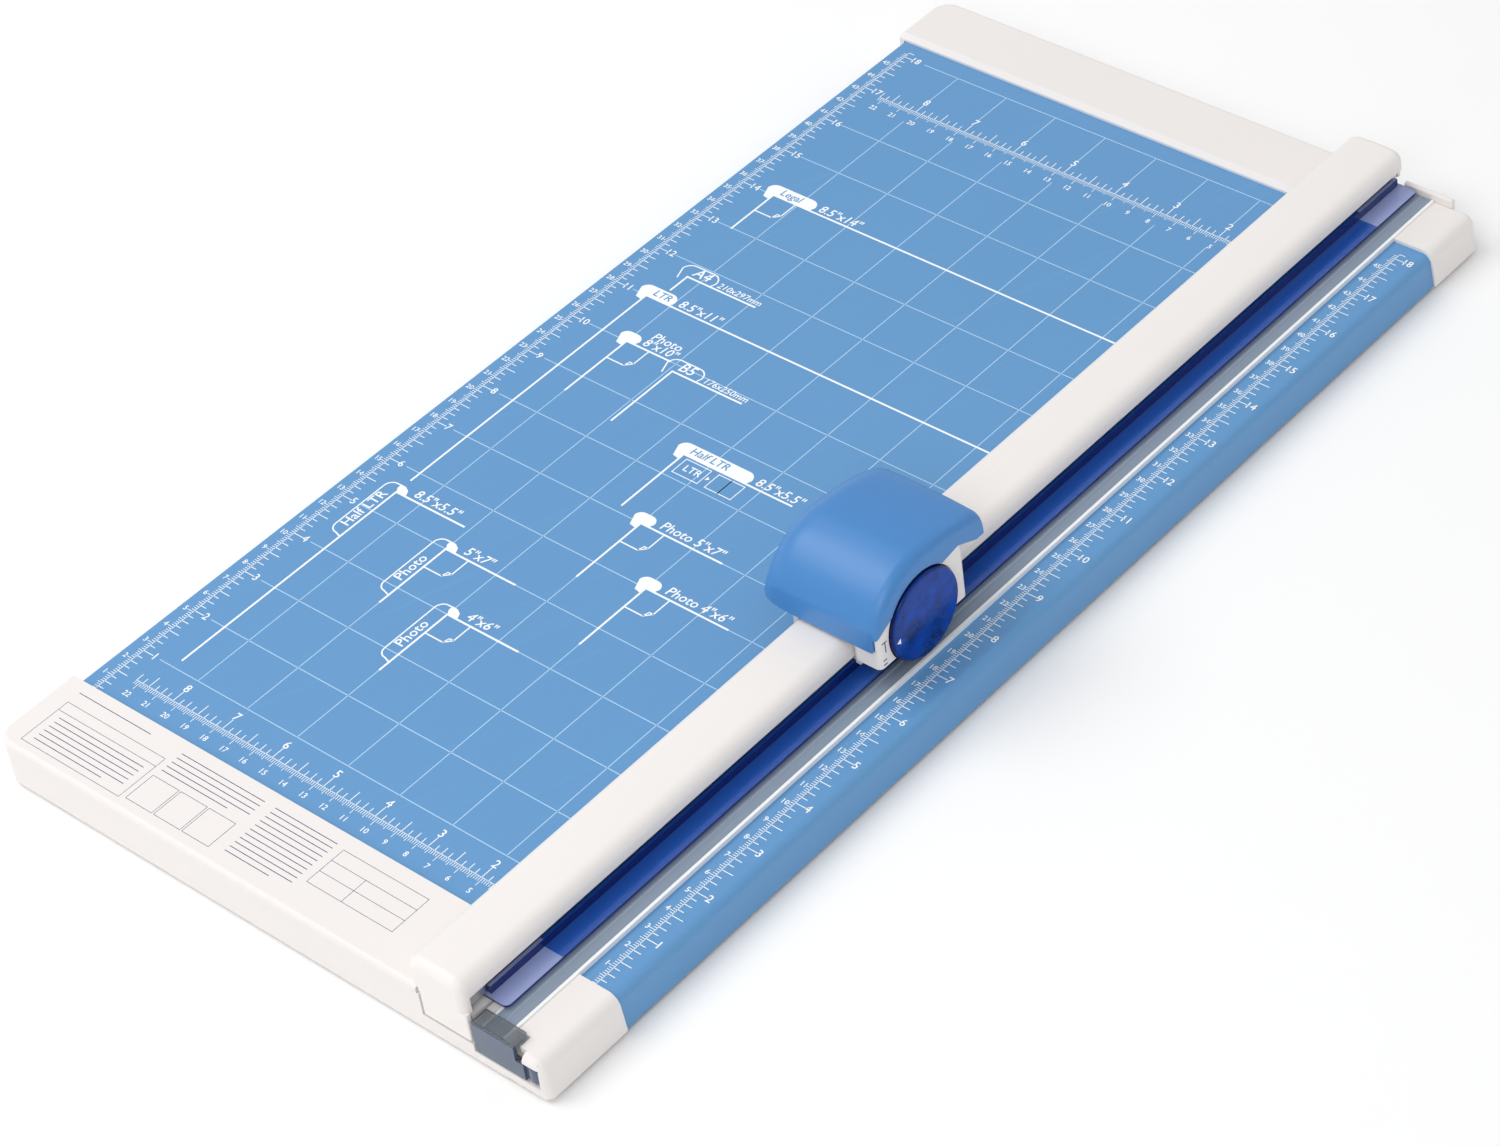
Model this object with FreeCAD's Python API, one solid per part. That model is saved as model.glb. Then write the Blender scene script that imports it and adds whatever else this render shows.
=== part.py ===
"""Rotary paper trimmer, millimetres.

Every piece is drawn about the trimmer's working datum: x = 0 is the cut line, y = 0 is the paper stop
and z = 0 is the top of the cutting board.  save() moves each piece to the row frame, whose origin is
the middle of the base on the table.
"""
import FreeCAD, Part
import math
import os
from FreeCAD import Vector

# Base
LENGTH = 533.4              # front to rear
WIDTH = 266.7               # left to right
BOARD_TOP = 18.0            # board surface above the table
FOOT_GAP = 1.5              # underside of the base above the table
STOP_FROM_FRONT = 37.7      # paper stop behind the front face
REAR_COVER_DEPTH = 29.7
CUT_FROM_RIGHT = 25.2       # cut line to the right side
COVER_STEP = 3.0            # front and rear covers above the board
CAP_TOP = -0.6              # caps beside the mat
COVER_WALL = 2.2
BOARD_INSET = 2.5           # left edge of the board inside the covers
BOARD_THICK = 1.5
TRAY_WALL = 2.2
TRAY_FLOOR = 2.0
CORNER_R = 8.0
JOINT_GAP = 0.2             # between fixed mouldings
FOOT_R = 8.0
STRIP_TOP = -2.0            # side ruler plate
STRIP_THICK = 1.2
SCREW_R = 1.5
SCREW_HEAD_R = 3.0

# Mat and gate
MAT_LEFT = -3.4
MAT_RIGHT = 4.8
MAT_THICK = 2.0
SCORE_WIDTH = 0.8
SCORE_DEPTH = 0.6
CHANNEL_WALL = 1.2
CHANNEL_GAP = 0.1
CHANNEL_FLOOR = 1.4
GATE_DEPTH = 7.8
GATE_THICK = 1.4
GATE_LEFT = -7.3
GATE_PIN_X = 18.4
GATE_PIN_R = 1.2
KNUCKLE_R = 3.0
GATE_GAP = 0.4
GATE_BOTTOM = -12.4
GATE_STEP = -5.0            # lower part of the gate's face below this level
GATE_FACE_END = 14.9
GATE_TOP = 1.4
KNUCKLE_TOP = -4.2

# Rail
RAIL_LEFT = -34.0
RAIL_RIGHT = -9.0
RAIL_TOP = 17.2
RAIL_WALL = 2.0
RAIL_EDGE_R = 5.0
RAIL_CROWN = 0.8
RAIL_LIFT = 1.2             # open paper gap under the guard
CLAMP_TRAVEL = 0.8
GUARD_RIGHT = -1.3
GUARD_THICK = 1.0
GUARD_LEFT = -24.0
GUARD_END_GAP = 11.5        # guard's near end behind the front face
GUARD_RIB_HEIGHT = 3.4
SLOT_TOP = 9.0              # lower edge of the rail's right wall
BEAM_LEFT = -31.5
BEAM_RIGHT = -11.5
BEAM_CLEAR = 4.4            # beam below the crown of the rail cover
GROOVE_LOW = 5.9
GROOVE_HIGH = 8.7
GROOVE_DEPTH = 9.0
RAIL_END_INSET = 2.5
BLOCK_LEFT = -30.4
BLOCK_RIGHT = -8.6
BLOCK_LENGTH = 23.0
BLOCK_BOTTOM = -8.3
BLOCK_CLEAR = 0.7
POST_X = -19.5
POST_R = 2.5
POST_HEAD_R = 4.0
POST_HEAD_H = 1.8
BUSH_WALL = 0.8
FIT = 0.05                  # running fit, radial

# Carriage
AXLE_Y = 182.5              # blade axle behind the paper stop with the carriage at rest
SADDLE_GAP = 0.4
SADDLE_WALL = 2.2
SADDLE_LENGTH = 44.0
TONGUE_THICK = 2.2
HEAD_PIN_X = -21.5
HEAD_PIN_R = 2.0
HEAD_PIN_SPREAD = 26.0
HEAD_BOSS_R = 4.6
HEAD_TRAVEL = 0.9

# Cutting head
HANDLE_LEFT = -49.0
HANDLE_RIGHT = 5.4
HANDLE_WALL = 1.8
HOUSING_LENGTH = 48.0
HOUSING_FACE = 4.8
HOUSING_WALL = 1.8
HOUSING_FOOT = 10.4         # underside of the housing
INNER_WALL_X = -5.8
DECK_Z = 30.5
DECK_THICK = 2.0

# Cartridge and blade
BLADE_R = 18.5
BLADE_THICK = 0.4
BLADE_LIFT = 1.35           # blade edge above the board at rest
COVER_R = 17.9
COVER_FACE_X = 6.8
COVER_BACK_X = 0.8
CARTRIDGE_WALL = 1.6
CARTRIDGE_GAP = 0.4
SPOKES = 6
AXLE_R = 2.0
BUSH_R = 4.0
LUG_REACH = 1.7
AXLE_SEAT_R = 3.4

# Derived places
X_RIGHT = CUT_FROM_RIGHT
X_LEFT = X_RIGHT - WIDTH
Y_FRONT = -STOP_FROM_FRONT
Y_REAR = Y_FRONT + LENGTH
Y_STEP = Y_REAR - REAR_COVER_DEPTH
Z_TABLE = -BOARD_TOP
Z_SHELL = Z_TABLE + FOOT_GAP
X_BOARD = X_LEFT + BOARD_INSET
CHANNEL_LEFT = MAT_LEFT - CHANNEL_GAP - CHANNEL_WALL
CHANNEL_RIGHT = MAT_RIGHT + CHANNEL_GAP + CHANNEL_WALL
CHANNEL_BOTTOM = -MAT_THICK - CHANNEL_FLOOR
FLOOR_TOP = Z_SHELL + TRAY_FLOOR
TONGUE_END = -3.2           # where the covers' tongues stop in front of the paper stop
TRAY_RIGHT = X_RIGHT - 7.0
GUARD_TOP = RAIL_LIFT + GUARD_THICK
BEAM_TOP = RAIL_TOP - BEAM_CLEAR
RAIL_SILL = COVER_STEP + CLAMP_TRAVEL + 0.4
APRON_TOP = BLOCK_BOTTOM - CLAMP_TRAVEL - 0.5
AXLE_Z = BLADE_R + BLADE_LIFT
RECESS_LEFT = BEAM_LEFT - BLOCK_CLEAR
RECESS_RIGHT = BLOCK_RIGHT + BLOCK_CLEAR
RAIL_FRONT = Y_FRONT
RAIL_REAR = Y_REAR
BLOCK_FRONT = RAIL_FRONT + RAIL_END_INSET
BLOCK_REAR = RAIL_REAR - RAIL_END_INSET
POST_FRONT = BLOCK_FRONT + BLOCK_LENGTH / 2
POST_REAR = BLOCK_REAR - BLOCK_LENGTH / 2
GATE_BACK = Y_FRONT + GATE_DEPTH
GATE_LOW = GATE_BOTTOM - GATE_GAP
GATE_HIGH = KNUCKLE_TOP + GATE_GAP
GATE_SEAT = GATE_LOW - 1.4
GATE_FRONT = Y_FRONT + 0.3
GATE_PIN_Y = GATE_FRONT + KNUCKLE_R
PIN_TOP = GATE_HIGH + 1.2
SADDLE_TOP = RAIL_TOP + SADDLE_GAP
SADDLE_FRONT = AXLE_Y - SADDLE_LENGTH / 2
SADDLE_REAR = AXLE_Y + SADDLE_LENGTH / 2
HOUSING_FRONT = AXLE_Y - HOUSING_LENGTH / 2
HOUSING_REAR = AXLE_Y + HOUSING_LENGTH / 2
DECK_TOP = DECK_Z + DECK_THICK
HANDLE_LOW = RAIL_TOP + 0.6 + HEAD_TRAVEL
DATUM = Vector(WIDTH / 2 - CUT_FROM_RIGHT, -LENGTH / 2 + STOP_FROM_FRONT, BOARD_TOP)
COIL_RUNS = 18              # straight runs in one turn of a spring
MITRED = 1                  # corner style of a swept pipe
UP = Vector(0, 0, 1)
ALONG_X = Vector(1, 0, 0)
ALONG_Y = Vector(0, 1, 0)


# Helpers

def save(name, shape):
    """Write one sub-part in the row frame."""
    placed = shape.copy()
    placed.translate(DATUM)
    placed.exportStep(os.path.join("parts", name + ".step"))


def group(solids):
    """Separate solids that share a node."""
    return Part.makeCompound(solids)


def block(x0, x1, y0, y1, z0, z1):
    return Part.makeBox(x1 - x0, y1 - y0, z1 - z0, Vector(x0, y0, z0))


def rod(radius, base, direction, length):
    return Part.makeCylinder(radius, length, base, direction)


def rod_x(radius, x0, x1, y=AXLE_Y, z=AXLE_Z):
    return rod(radius, Vector(x0, y, z), ALONG_X, x1 - x0)


def rod_z(radius, x, y, z0, z1):
    return rod(radius, Vector(x, y, z0), UP, z1 - z0)


def prism_y(points, y0, y1):
    """Extrude an outline of (x, z) points along Y."""
    wire = Part.makePolygon([Vector(x, y0, z) for x, z in points + points[:1]])
    return Part.Face(wire).extrude(Vector(0, y1 - y0, 0))


def prism_x(points, x0, x1):
    """Extrude an outline of (y, z) points along X."""
    wire = Part.makePolygon([Vector(x0, y, z) for y, z in points + points[:1]])
    return Part.Face(wire).extrude(Vector(x1 - x0, 0, 0))


def fillet(shape, radius, wanted):
    """Round the edges whose centre and direction satisfy wanted()."""
    edges = []
    for edge in shape.Edges:
        direction = edge.tangentAt(edge.FirstParameter)
        if wanted(edge.CenterOfMass, direction):
            edges.append(edge)
    return shape.makeFillet(radius, edges)


def near(a, b):
    return abs(a - b) < 0.01


def along(direction, axis):
    return abs(direction.dot(axis)) > 0.999


def screw(x, y, head_z, length, head_up=True):
    """Pan-head screw with a cross recess; its head sits on the plane head_z."""
    turn = 1 if head_up else -1
    head = rod(SCREW_HEAD_R, Vector(x, y, head_z), UP * turn, 1.8)
    head = fillet(head, 0.8, lambda c, d: near(c.z, head_z + turn * 1.8) and abs(d.z) < 0.5)
    shank = rod(SCREW_R, Vector(x, y, head_z), UP * -turn, length)
    body = head.fuse(shank)
    low = min(head_z + turn * 0.8, head_z + turn * 1.9)
    for across, deep in ((3.6, 0.8), (0.8, 3.6)):
        body = body.cut(block(x - across / 2, x + across / 2, y - deep / 2, y + deep / 2, low, low + 1.1))
    return body


def coil(x, y, z0, z1, radius, wire_r, turns):
    """Round-wire compression spring standing on z0, swept along short mitred runs."""
    runs = turns * COIL_RUNS
    low = z0 + wire_r
    rise = z1 - z0 - 2 * wire_r
    points = []
    for step in range(runs + 1):
        angle = 2 * math.pi * step / COIL_RUNS
        points.append(Vector(x + radius * math.cos(angle),
                             y + radius * math.sin(angle),
                             low + rise * step / runs))
    section = Part.Wire(Part.makeCircle(wire_r, points[0], points[1] - points[0]))
    return Part.makePolygon(points).makePipeShell([section], True, False, MITRED)


# Base

FOOT_PLACES = [
    (x, y)
    for y in (Y_FRONT + 20, (Y_FRONT + Y_REAR) / 2, Y_REAR - 20)
    for x in (X_LEFT + 22, X_RIGHT - 24)
]
COVER_SCREW_PLACES = [
    (x, y)
    for y in (Y_FRONT + 9, Y_REAR - 9)
    for x in (X_LEFT + 45, (X_LEFT + RECESS_LEFT) / 2, RECESS_LEFT - 14)
]
BAR_CENTRES = (X_LEFT + 62, RECESS_LEFT - 48)


def base_tray():
    left = X_BOARD + BOARD_THICK + JOINT_GAP
    front = Y_FRONT + COVER_WALL + JOINT_GAP
    rear = Y_REAR - COVER_WALL - JOINT_GAP
    top = STRIP_TOP - STRIP_THICK
    outer = block(left, TRAY_RIGHT, front, rear, Z_SHELL, top)
    outer = fillet(outer, CORNER_R - COVER_WALL, lambda c, d: along(d, UP) and near(c.x, left))
    floor = FLOOR_TOP
    inner = block(left + TRAY_WALL, TRAY_RIGHT - TRAY_WALL, front + TRAY_WALL, rear - TRAY_WALL,
                  floor, top + 1)
    tray = outer.cut(inner)
    board_front = -3.0
    board_rear = Y_STEP + 3.0
    under_board = -BOARD_THICK
    span = CHANNEL_LEFT - left
    for step in range(1, 6):
        x = left + span * step / 6
        tray = tray.fuse(block(x - 1, x + 1, board_front, board_rear, floor - 1, under_board))
    for step in range(0, 7):
        y = board_front + (board_rear - board_front - 2) * step / 6
        tray = tray.fuse(block(left + 1, CHANNEL_LEFT - 1, y, y + 2, floor - 1, under_board))
    for x in (CHANNEL_LEFT + 0.3, CHANNEL_RIGHT - 1.8):
        tray = tray.fuse(block(x, x + 1.5, front + 1, rear - 1, floor - 1, CHANNEL_BOTTOM))
    for y in (POST_FRONT, POST_REAR):
        tray = tray.fuse(rod_z(5.6, POST_X, y, floor - 1, floor + 1.4))
        tray = tray.cut(rod_z(POST_R, POST_X, y, Z_SHELL - 1, floor + 3))
        tray = tray.cut(rod_z(POST_R + 2.6, POST_X, y, Z_SHELL - 1, Z_SHELL + 1.6))
    room_low = BLOCK_BOTTOM - CLAMP_TRAVEL - 1.0
    for y0, y1 in ((BLOCK_FRONT - 2, BLOCK_FRONT + BLOCK_LENGTH + 1),
                   (BLOCK_REAR - BLOCK_LENGTH - 1, BLOCK_REAR + 2)):
        tray = tray.cut(block(BLOCK_LEFT - 1, BLOCK_RIGHT + 1, y0, y1, room_low, 0))
    tray = tray.cut(block(CHANNEL_RIGHT, TRAY_RIGHT + 1, front - 1, GATE_PIN_Y + 7.6, GATE_SEAT, 0))
    tray = tray.cut(block(CHANNEL_LEFT - JOINT_GAP, CHANNEL_RIGHT + JOINT_GAP, front - 1, rear + 1,
                          CHANNEL_BOTTOM, 0))
    for x in BAR_CENTRES:
        tray = tray.cut(block(x - 10.4, x + 10.4, board_front + 20, board_rear - 20, floor, 1))
    for x, y in FOOT_PLACES:
        tray = tray.cut(rod_z(FOOT_R + JOINT_GAP, x, y, Z_SHELL - 1, Z_SHELL + 0.8))
        tray = tray.fuse(rod_z(4.0, x, y, floor - 0.2, floor + 5))
        tray = tray.cut(rod_z(SCREW_R, x, y, Z_SHELL, floor + 4))
    for x, y in COVER_SCREW_PLACES:
        tray = tray.cut(rod_z(SCREW_HEAD_R + 0.5, x, y, Z_SHELL - 1, Z_SHELL + 1.0))
        tray = tray.cut(rod_z(SCREW_R + 0.2, x, y, Z_SHELL, floor + 1))
    return tray


def stiffening_bars():
    """Steel channels that lie on the tray floor under the board."""
    floor = FLOOR_TOP
    bars = []
    for x in BAR_CENTRES:
        y0 = 20.0
        y1 = Y_STEP - 20.0
        bar = block(x - 10, x + 10, y0, y1, floor, -BOARD_THICK)
        bars.append(bar.cut(block(x - 8.4, x + 8.4, y0 - 1, y1 + 1, floor + 1.6, 0)))
    return group(bars)


def board_plate():
    """Steel board, folded down along its left edge."""
    right = CHANNEL_LEFT - JOINT_GAP
    low = Z_SHELL + 0.3
    outline = [(X_BOARD, 0), (right, 0), (right, -BOARD_THICK), (X_BOARD + BOARD_THICK, -BOARD_THICK),
               (X_BOARD + BOARD_THICK, low), (X_BOARD, low)]
    plate = prism_y(outline, -2.8, Y_STEP + 2.8)
    plate = fillet(plate, 1.2, lambda c, d: along(d, ALONG_Y) and near(c.x, X_BOARD) and near(c.z, 0))
    for y in (Y_FRONT, Y_STEP):
        plate = plate.cut(block(X_BOARD - 1, X_BOARD + BOARD_THICK + 0.1, y - 0.1, y + STOP_FROM_FRONT + 0.1,
                                Z_SHELL, 1))
    return plate


def end_cover(y_outer, y_board, facing):
    """White cover across the left of the base; facing is -1 in front and 1 at the rear."""
    y0 = min(y_outer, y_board)
    y1 = max(y_outer, y_board)
    outer = block(X_LEFT, RECESS_LEFT, y0, y1, Z_SHELL, COVER_STEP)
    outer = fillet(outer, CORNER_R, lambda c, d: along(d, UP) and near(c.x, X_LEFT) and near(c.y, y_outer))
    outer = fillet(outer, 2.0, lambda c, d: near(c.z, COVER_STEP) and not near(c.x, RECESS_LEFT)
                   and not near(c.y, y_board))
    inner = block(X_LEFT + COVER_WALL, RECESS_LEFT + 1, y0 + COVER_WALL, y1 - COVER_WALL, Z_SHELL - 1,
                  COVER_STEP - COVER_WALL)
    inner = fillet(inner, CORNER_R - COVER_WALL, lambda c, d: along(d, UP) and near(c.x, X_LEFT + COVER_WALL)
                   and abs(c.y - y_outer) < COVER_WALL + 1)
    cover = outer.cut(inner)
    inside_y = y_board + facing * (COVER_WALL + 1)
    beyond_y = y_board - facing * 1
    cover = cover.cut(block(X_BOARD - JOINT_GAP, RECESS_LEFT + 1, min(inside_y, beyond_y),
                            max(inside_y, beyond_y), Z_SHELL - 1, 0))
    cheek = block(RECESS_LEFT - COVER_WALL, RECESS_LEFT, y0 + 1, y1 - 3.2, 0.05, COVER_STEP - 0.5)
    if facing > 0:
        cheek = block(RECESS_LEFT - COVER_WALL, RECESS_LEFT, y0 + 3.2, y1 - 1, 0.05, COVER_STEP - 0.5)
    cover = cover.fuse(cheek)
    for x, y in COVER_SCREW_PLACES:
        if y0 < y < y1:
            boss = rod_z(3.4, x, y, FLOOR_TOP, COVER_STEP - 1)
            cover = cover.fuse(boss).cut(rod_z(SCREW_R, x, y, Z_SHELL, Z_SHELL + 11))
    return cover


def front_cover():
    """Front cover with the apron under the rail end and the tongue beside the mat."""
    cover = end_cover(Y_FRONT, 0, -1)
    behind = Y_FRONT + COVER_WALL
    cover = cover.fuse(block(RECESS_LEFT - 1, RECESS_RIGHT, Y_FRONT, behind, Z_SHELL, APRON_TOP))
    cheek = block(RECESS_LEFT - COVER_WALL, BLOCK_LEFT - BLOCK_CLEAR, Y_FRONT, behind, Z_SHELL, 0)
    cover = cover.fuse(cheek)
    right = CHANNEL_LEFT - JOINT_GAP
    sill = block(RECESS_LEFT - 1, right, BLOCK_FRONT + BLOCK_LENGTH + BLOCK_CLEAR, TONGUE_END,
                 -BOARD_THICK, 0.3)
    tongue = block(RECESS_RIGHT, right, GATE_FRONT + GATE_GAP + GATE_THICK, TONGUE_END, -BOARD_THICK, 0.3)
    tongue = tongue.cut(block(RECESS_RIGHT - 1, 0, Y_FRONT, GATE_BACK + GATE_GAP, -0.1, 1))
    web = block(RECESS_RIGHT, RECESS_RIGHT + 1.6, behind + TRAY_WALL + 2 * JOINT_GAP, TONGUE_END,
                FLOOR_TOP, -0.3)
    tongue = tongue.fuse(web)
    return cover.fuse([sill, tongue]).removeSplitter()


def rear_cover():
    """Rear cover with the sill under the rail end and the lip behind the mat."""
    cover = end_cover(Y_REAR, Y_STEP, 1)
    bevel = 2.0
    wedge = prism_x([(Y_STEP - 1, COVER_STEP - bevel - 1), (Y_STEP + bevel + 1, COVER_STEP + 1),
                     (Y_STEP - 1, COVER_STEP + 1)], X_LEFT - 1, RECESS_LEFT + 1)
    cover = cover.cut(wedge)
    lip_front = Y_REAR - COVER_WALL
    cover = cover.fuse(block(RECESS_LEFT - 1, RECESS_RIGHT, lip_front, Y_REAR, Z_SHELL, APRON_TOP))
    cover = cover.fuse(block(RECESS_RIGHT, CHANNEL_RIGHT + 8, lip_front, Y_REAR, Z_SHELL, COVER_STEP))
    right = CHANNEL_LEFT - JOINT_GAP
    start = Y_STEP - TONGUE_END
    sill = block(RECESS_LEFT - 1, right, start, BLOCK_REAR - BLOCK_LENGTH - BLOCK_CLEAR, -BOARD_THICK, 0.3)
    tongue = block(RECESS_RIGHT, right, start, Y_REAR - 0.4, -BOARD_THICK, 0.3)
    cover = cover.fuse([sill, tongue]).removeSplitter()
    return fillet(cover, 0.9, lambda c, d: near(c.z, COVER_STEP) and c.x > RECESS_RIGHT)


def side_outline(left, top, proud):
    """Section of the right side: flat top, rounded shoulder, slightly flared side."""
    shoulder = X_RIGHT - 2.6 + proud
    return [(left, top), (shoulder, top), (X_RIGHT - 0.8 + proud, Z_SHELL + 0.4), (left, Z_SHELL + 0.4)]


def side_ruler_plate():
    """Blue folded strip along the right side."""
    left = CHANNEL_RIGHT
    outer = prism_y(side_outline(left, STRIP_TOP, 0), 0, Y_STEP)
    outer = fillet(outer, 4.0, lambda c, d: along(d, ALONG_Y) and near(c.z, STRIP_TOP) and c.x > left + 2)
    shoulder = X_RIGHT - 2.6 - STRIP_THICK
    inner_outline = [(left - 1, STRIP_TOP - STRIP_THICK), (shoulder, STRIP_TOP - STRIP_THICK),
                     (X_RIGHT - 0.8 - STRIP_THICK, Z_SHELL - 1), (left - 1, Z_SHELL - 1)]
    inner = prism_y(inner_outline, -1, Y_STEP + 1)
    inner = fillet(inner, 2.8, lambda c, d: along(d, ALONG_Y) and near(c.z, STRIP_TOP - STRIP_THICK)
                   and c.x > left + 2)
    return outer.cut(inner)


def end_cap(y0, y1):
    """Solid skin of a cap at one end of the side ruler plate, hollow from below."""
    left = CHANNEL_RIGHT
    outer = prism_y(side_outline(left, CAP_TOP, 0.8), y0, y1)
    y_end = y0 if y0 < 0 else y1
    outer = fillet(outer, 5.0, lambda c, d: near(c.y, y_end) is False and along(d, ALONG_Y)
                   and near(c.z, CAP_TOP) and c.x > left + 2)
    outer = fillet(outer, 3.0, lambda c, d: near(c.y, y_end) and c.z > Z_SHELL + 4 and c.x > X_RIGHT - 3
                   and abs(d.z) > 0.5)
    right = TRAY_RIGHT + JOINT_GAP
    front = y0 + COVER_WALL
    rear = y1 - COVER_WALL
    hollow = block(left - 1, right, front, rear, Z_SHELL - 1, CAP_TOP - COVER_WALL)
    open_front = front if y_end < 0 else y0 - 1
    open_rear = y1 + 1 if y_end < 0 else rear
    passage = block(left - 1, right, open_front, open_rear, Z_SHELL - 1, STRIP_TOP - STRIP_THICK)
    return outer.cut(hollow.fuse(passage))


def front_end_cap():
    """Near cap with the gate's seat and the ledge that runs under the gate."""
    cap = end_cap(Y_FRONT, 0)
    ledge = block(RECESS_RIGHT, CHANNEL_RIGHT, Y_FRONT, Y_FRONT + COVER_WALL, Z_SHELL, GATE_LOW)
    cap = cap.fuse(ledge)
    reach = KNUCKLE_R + GATE_GAP
    sweep = rod_z(reach, GATE_PIN_X, GATE_PIN_Y, GATE_LOW, GATE_HIGH)
    front_room = block(CHANNEL_RIGHT - 1, GATE_PIN_X + reach, Y_FRONT - 1, GATE_PIN_Y, GATE_LOW, GATE_HIGH)
    seat = block(CHANNEL_RIGHT - 1, 12.0, Y_FRONT - 1, GATE_BACK + GATE_GAP, -7.0, 2)
    corner = block(CHANNEL_RIGHT - 1, 15.0, Y_FRONT - 1, Y_FRONT + 3.2, -7.0, 2)
    cap = cap.cut(sweep.fuse([front_room, seat, corner]))
    floor = block(CHANNEL_RIGHT, 14.0, Y_FRONT + 4.0, GATE_BACK + 3, -8.4, -7.0)
    wall = block(CHANNEL_RIGHT, 14.0, GATE_BACK + GATE_GAP, GATE_BACK + GATE_GAP + 1.4, -8.4, CAP_TOP - 1)
    cap = cap.fuse([floor, wall])
    lug = block(GATE_PIN_X - reach, GATE_PIN_X + KNUCKLE_R, GATE_PIN_Y - 2.4, GATE_PIN_Y + 8, GATE_HIGH,
                CAP_TOP - 1)
    foot = block(GATE_PIN_X - reach, GATE_PIN_X + KNUCKLE_R, Y_FRONT + 0.4, GATE_PIN_Y + 4, GATE_SEAT,
                 GATE_LOW)
    cap = cap.fuse([lug, foot])
    tray_room = block(CHANNEL_LEFT, TRAY_RIGHT + JOINT_GAP, Y_FRONT + COVER_WALL, 1, Z_SHELL - 1, GATE_SEAT)
    cap = cap.cut(tray_room)
    return cap.cut(gate_pin()).removeSplitter()


def rear_end_cap():
    cap = end_cap(Y_STEP, Y_REAR)
    return cap.cut(block(0, CHANNEL_RIGHT + 8 + JOINT_GAP, Y_REAR - COVER_WALL - JOINT_GAP, Y_REAR + 1,
                         Z_SHELL - 1, 5))


def mat_channel():
    """White extrusion with a floor, a low left wall and the right wall seen beside the ruler."""
    y0 = Y_FRONT + COVER_WALL + 0.3
    y1 = Y_REAR - COVER_WALL - JOINT_GAP
    outer = block(CHANNEL_LEFT, CHANNEL_RIGHT, y0, y1, CHANNEL_BOTTOM, 0)
    slot = block(MAT_LEFT - CHANNEL_GAP, MAT_RIGHT + CHANNEL_GAP, y0 - 1, y1 + 1, -MAT_THICK, 1)
    channel = outer.cut(slot)
    return channel.cut(block(CHANNEL_LEFT - 1, CHANNEL_RIGHT + 1, y0 - 1, GATE_BACK + GATE_GAP, -0.1, 1))


def cutting_mat():
    """Plastic strip with a scored cut line."""
    y0 = Y_FRONT + GATE_THICK + 0.8
    y1 = Y_REAR - COVER_WALL - 0.5
    mat = block(MAT_LEFT, MAT_RIGHT, y0, y1, -MAT_THICK, 0)
    half = SCORE_WIDTH / 2
    return mat.cut(block(-half, half, y0 - 1, y1 + 1, -SCORE_DEPTH, 1))


def mat_gate():
    """Translucent gate: face plate, stepped top plate, and a rounded knuckle joined on by a set-back web."""
    front = GATE_FRONT
    right = 11.6
    back = front + GATE_THICK
    set_back = 0.9
    face = block(GATE_LEFT, GATE_FACE_END, front, back, GATE_BOTTOM, GATE_STEP)
    upper = block(GATE_LEFT, right, front, back, GATE_STEP - 1, GATE_TOP)
    top = block(GATE_LEFT, right, front, GATE_BACK, GATE_TOP - 1.0, GATE_TOP)
    web = block(GATE_FACE_END - 1, GATE_PIN_X, front + set_back, back + set_back, GATE_BOTTOM + 0.8,
                GATE_STEP - 0.8)
    knuckle = rod_z(KNUCKLE_R, GATE_PIN_X, GATE_PIN_Y, GATE_BOTTOM, KNUCKLE_TOP)
    knuckle = fillet(knuckle, 1.5, lambda c, d: near(c.z, GATE_BOTTOM) or near(c.z, KNUCKLE_TOP))
    gate = face.fuse([upper, top, web, knuckle]).removeSplitter()
    gate = gate.cut(rod_z(GATE_PIN_R + FIT, GATE_PIN_X, GATE_PIN_Y, GATE_LOW, GATE_HIGH))
    gate = fillet(gate, 1.2, lambda c, d: along(d, UP) and near(c.x, right) and near(c.y, GATE_BACK))
    return fillet(gate, 0.7, lambda c, d: along(d, ALONG_X) and near(c.z, GATE_TOP) and near(c.y, front))


def gate_pin():
    return rod_z(GATE_PIN_R, GATE_PIN_X, GATE_PIN_Y, GATE_SEAT, PIN_TOP)


def rubber_feet():
    feet = []
    for x, y in FOOT_PLACES:
        foot = rod_z(FOOT_R, x, y, Z_TABLE, Z_SHELL + 0.8)
        foot = fillet(foot, 0.6, lambda c, d: near(c.z, Z_TABLE) and abs(d.z) < 0.5)
        foot = foot.cut(rod_z(SCREW_HEAD_R + 0.3, x, y, Z_TABLE - 1, Z_SHELL - 0.9))
        feet.append(foot.cut(rod_z(SCREW_R, x, y, Z_TABLE, Z_SHELL + 2)))
    return group(feet)


def foot_screws():
    screws = []
    for x, y in FOOT_PLACES:
        head = rod_z(SCREW_HEAD_R, x, y, Z_TABLE + 0.1, Z_SHELL - 0.9)
        screws.append(head.fuse(rod_z(SCREW_R, x, y, Z_SHELL - 0.9, Z_SHELL + 5.5)))
    return group(screws)


def cover_screws():
    return group([screw(x, y, Z_SHELL + 1.0, 9.5, head_up=False) for x, y in COVER_SCREW_PLACES])


# Rail

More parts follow.
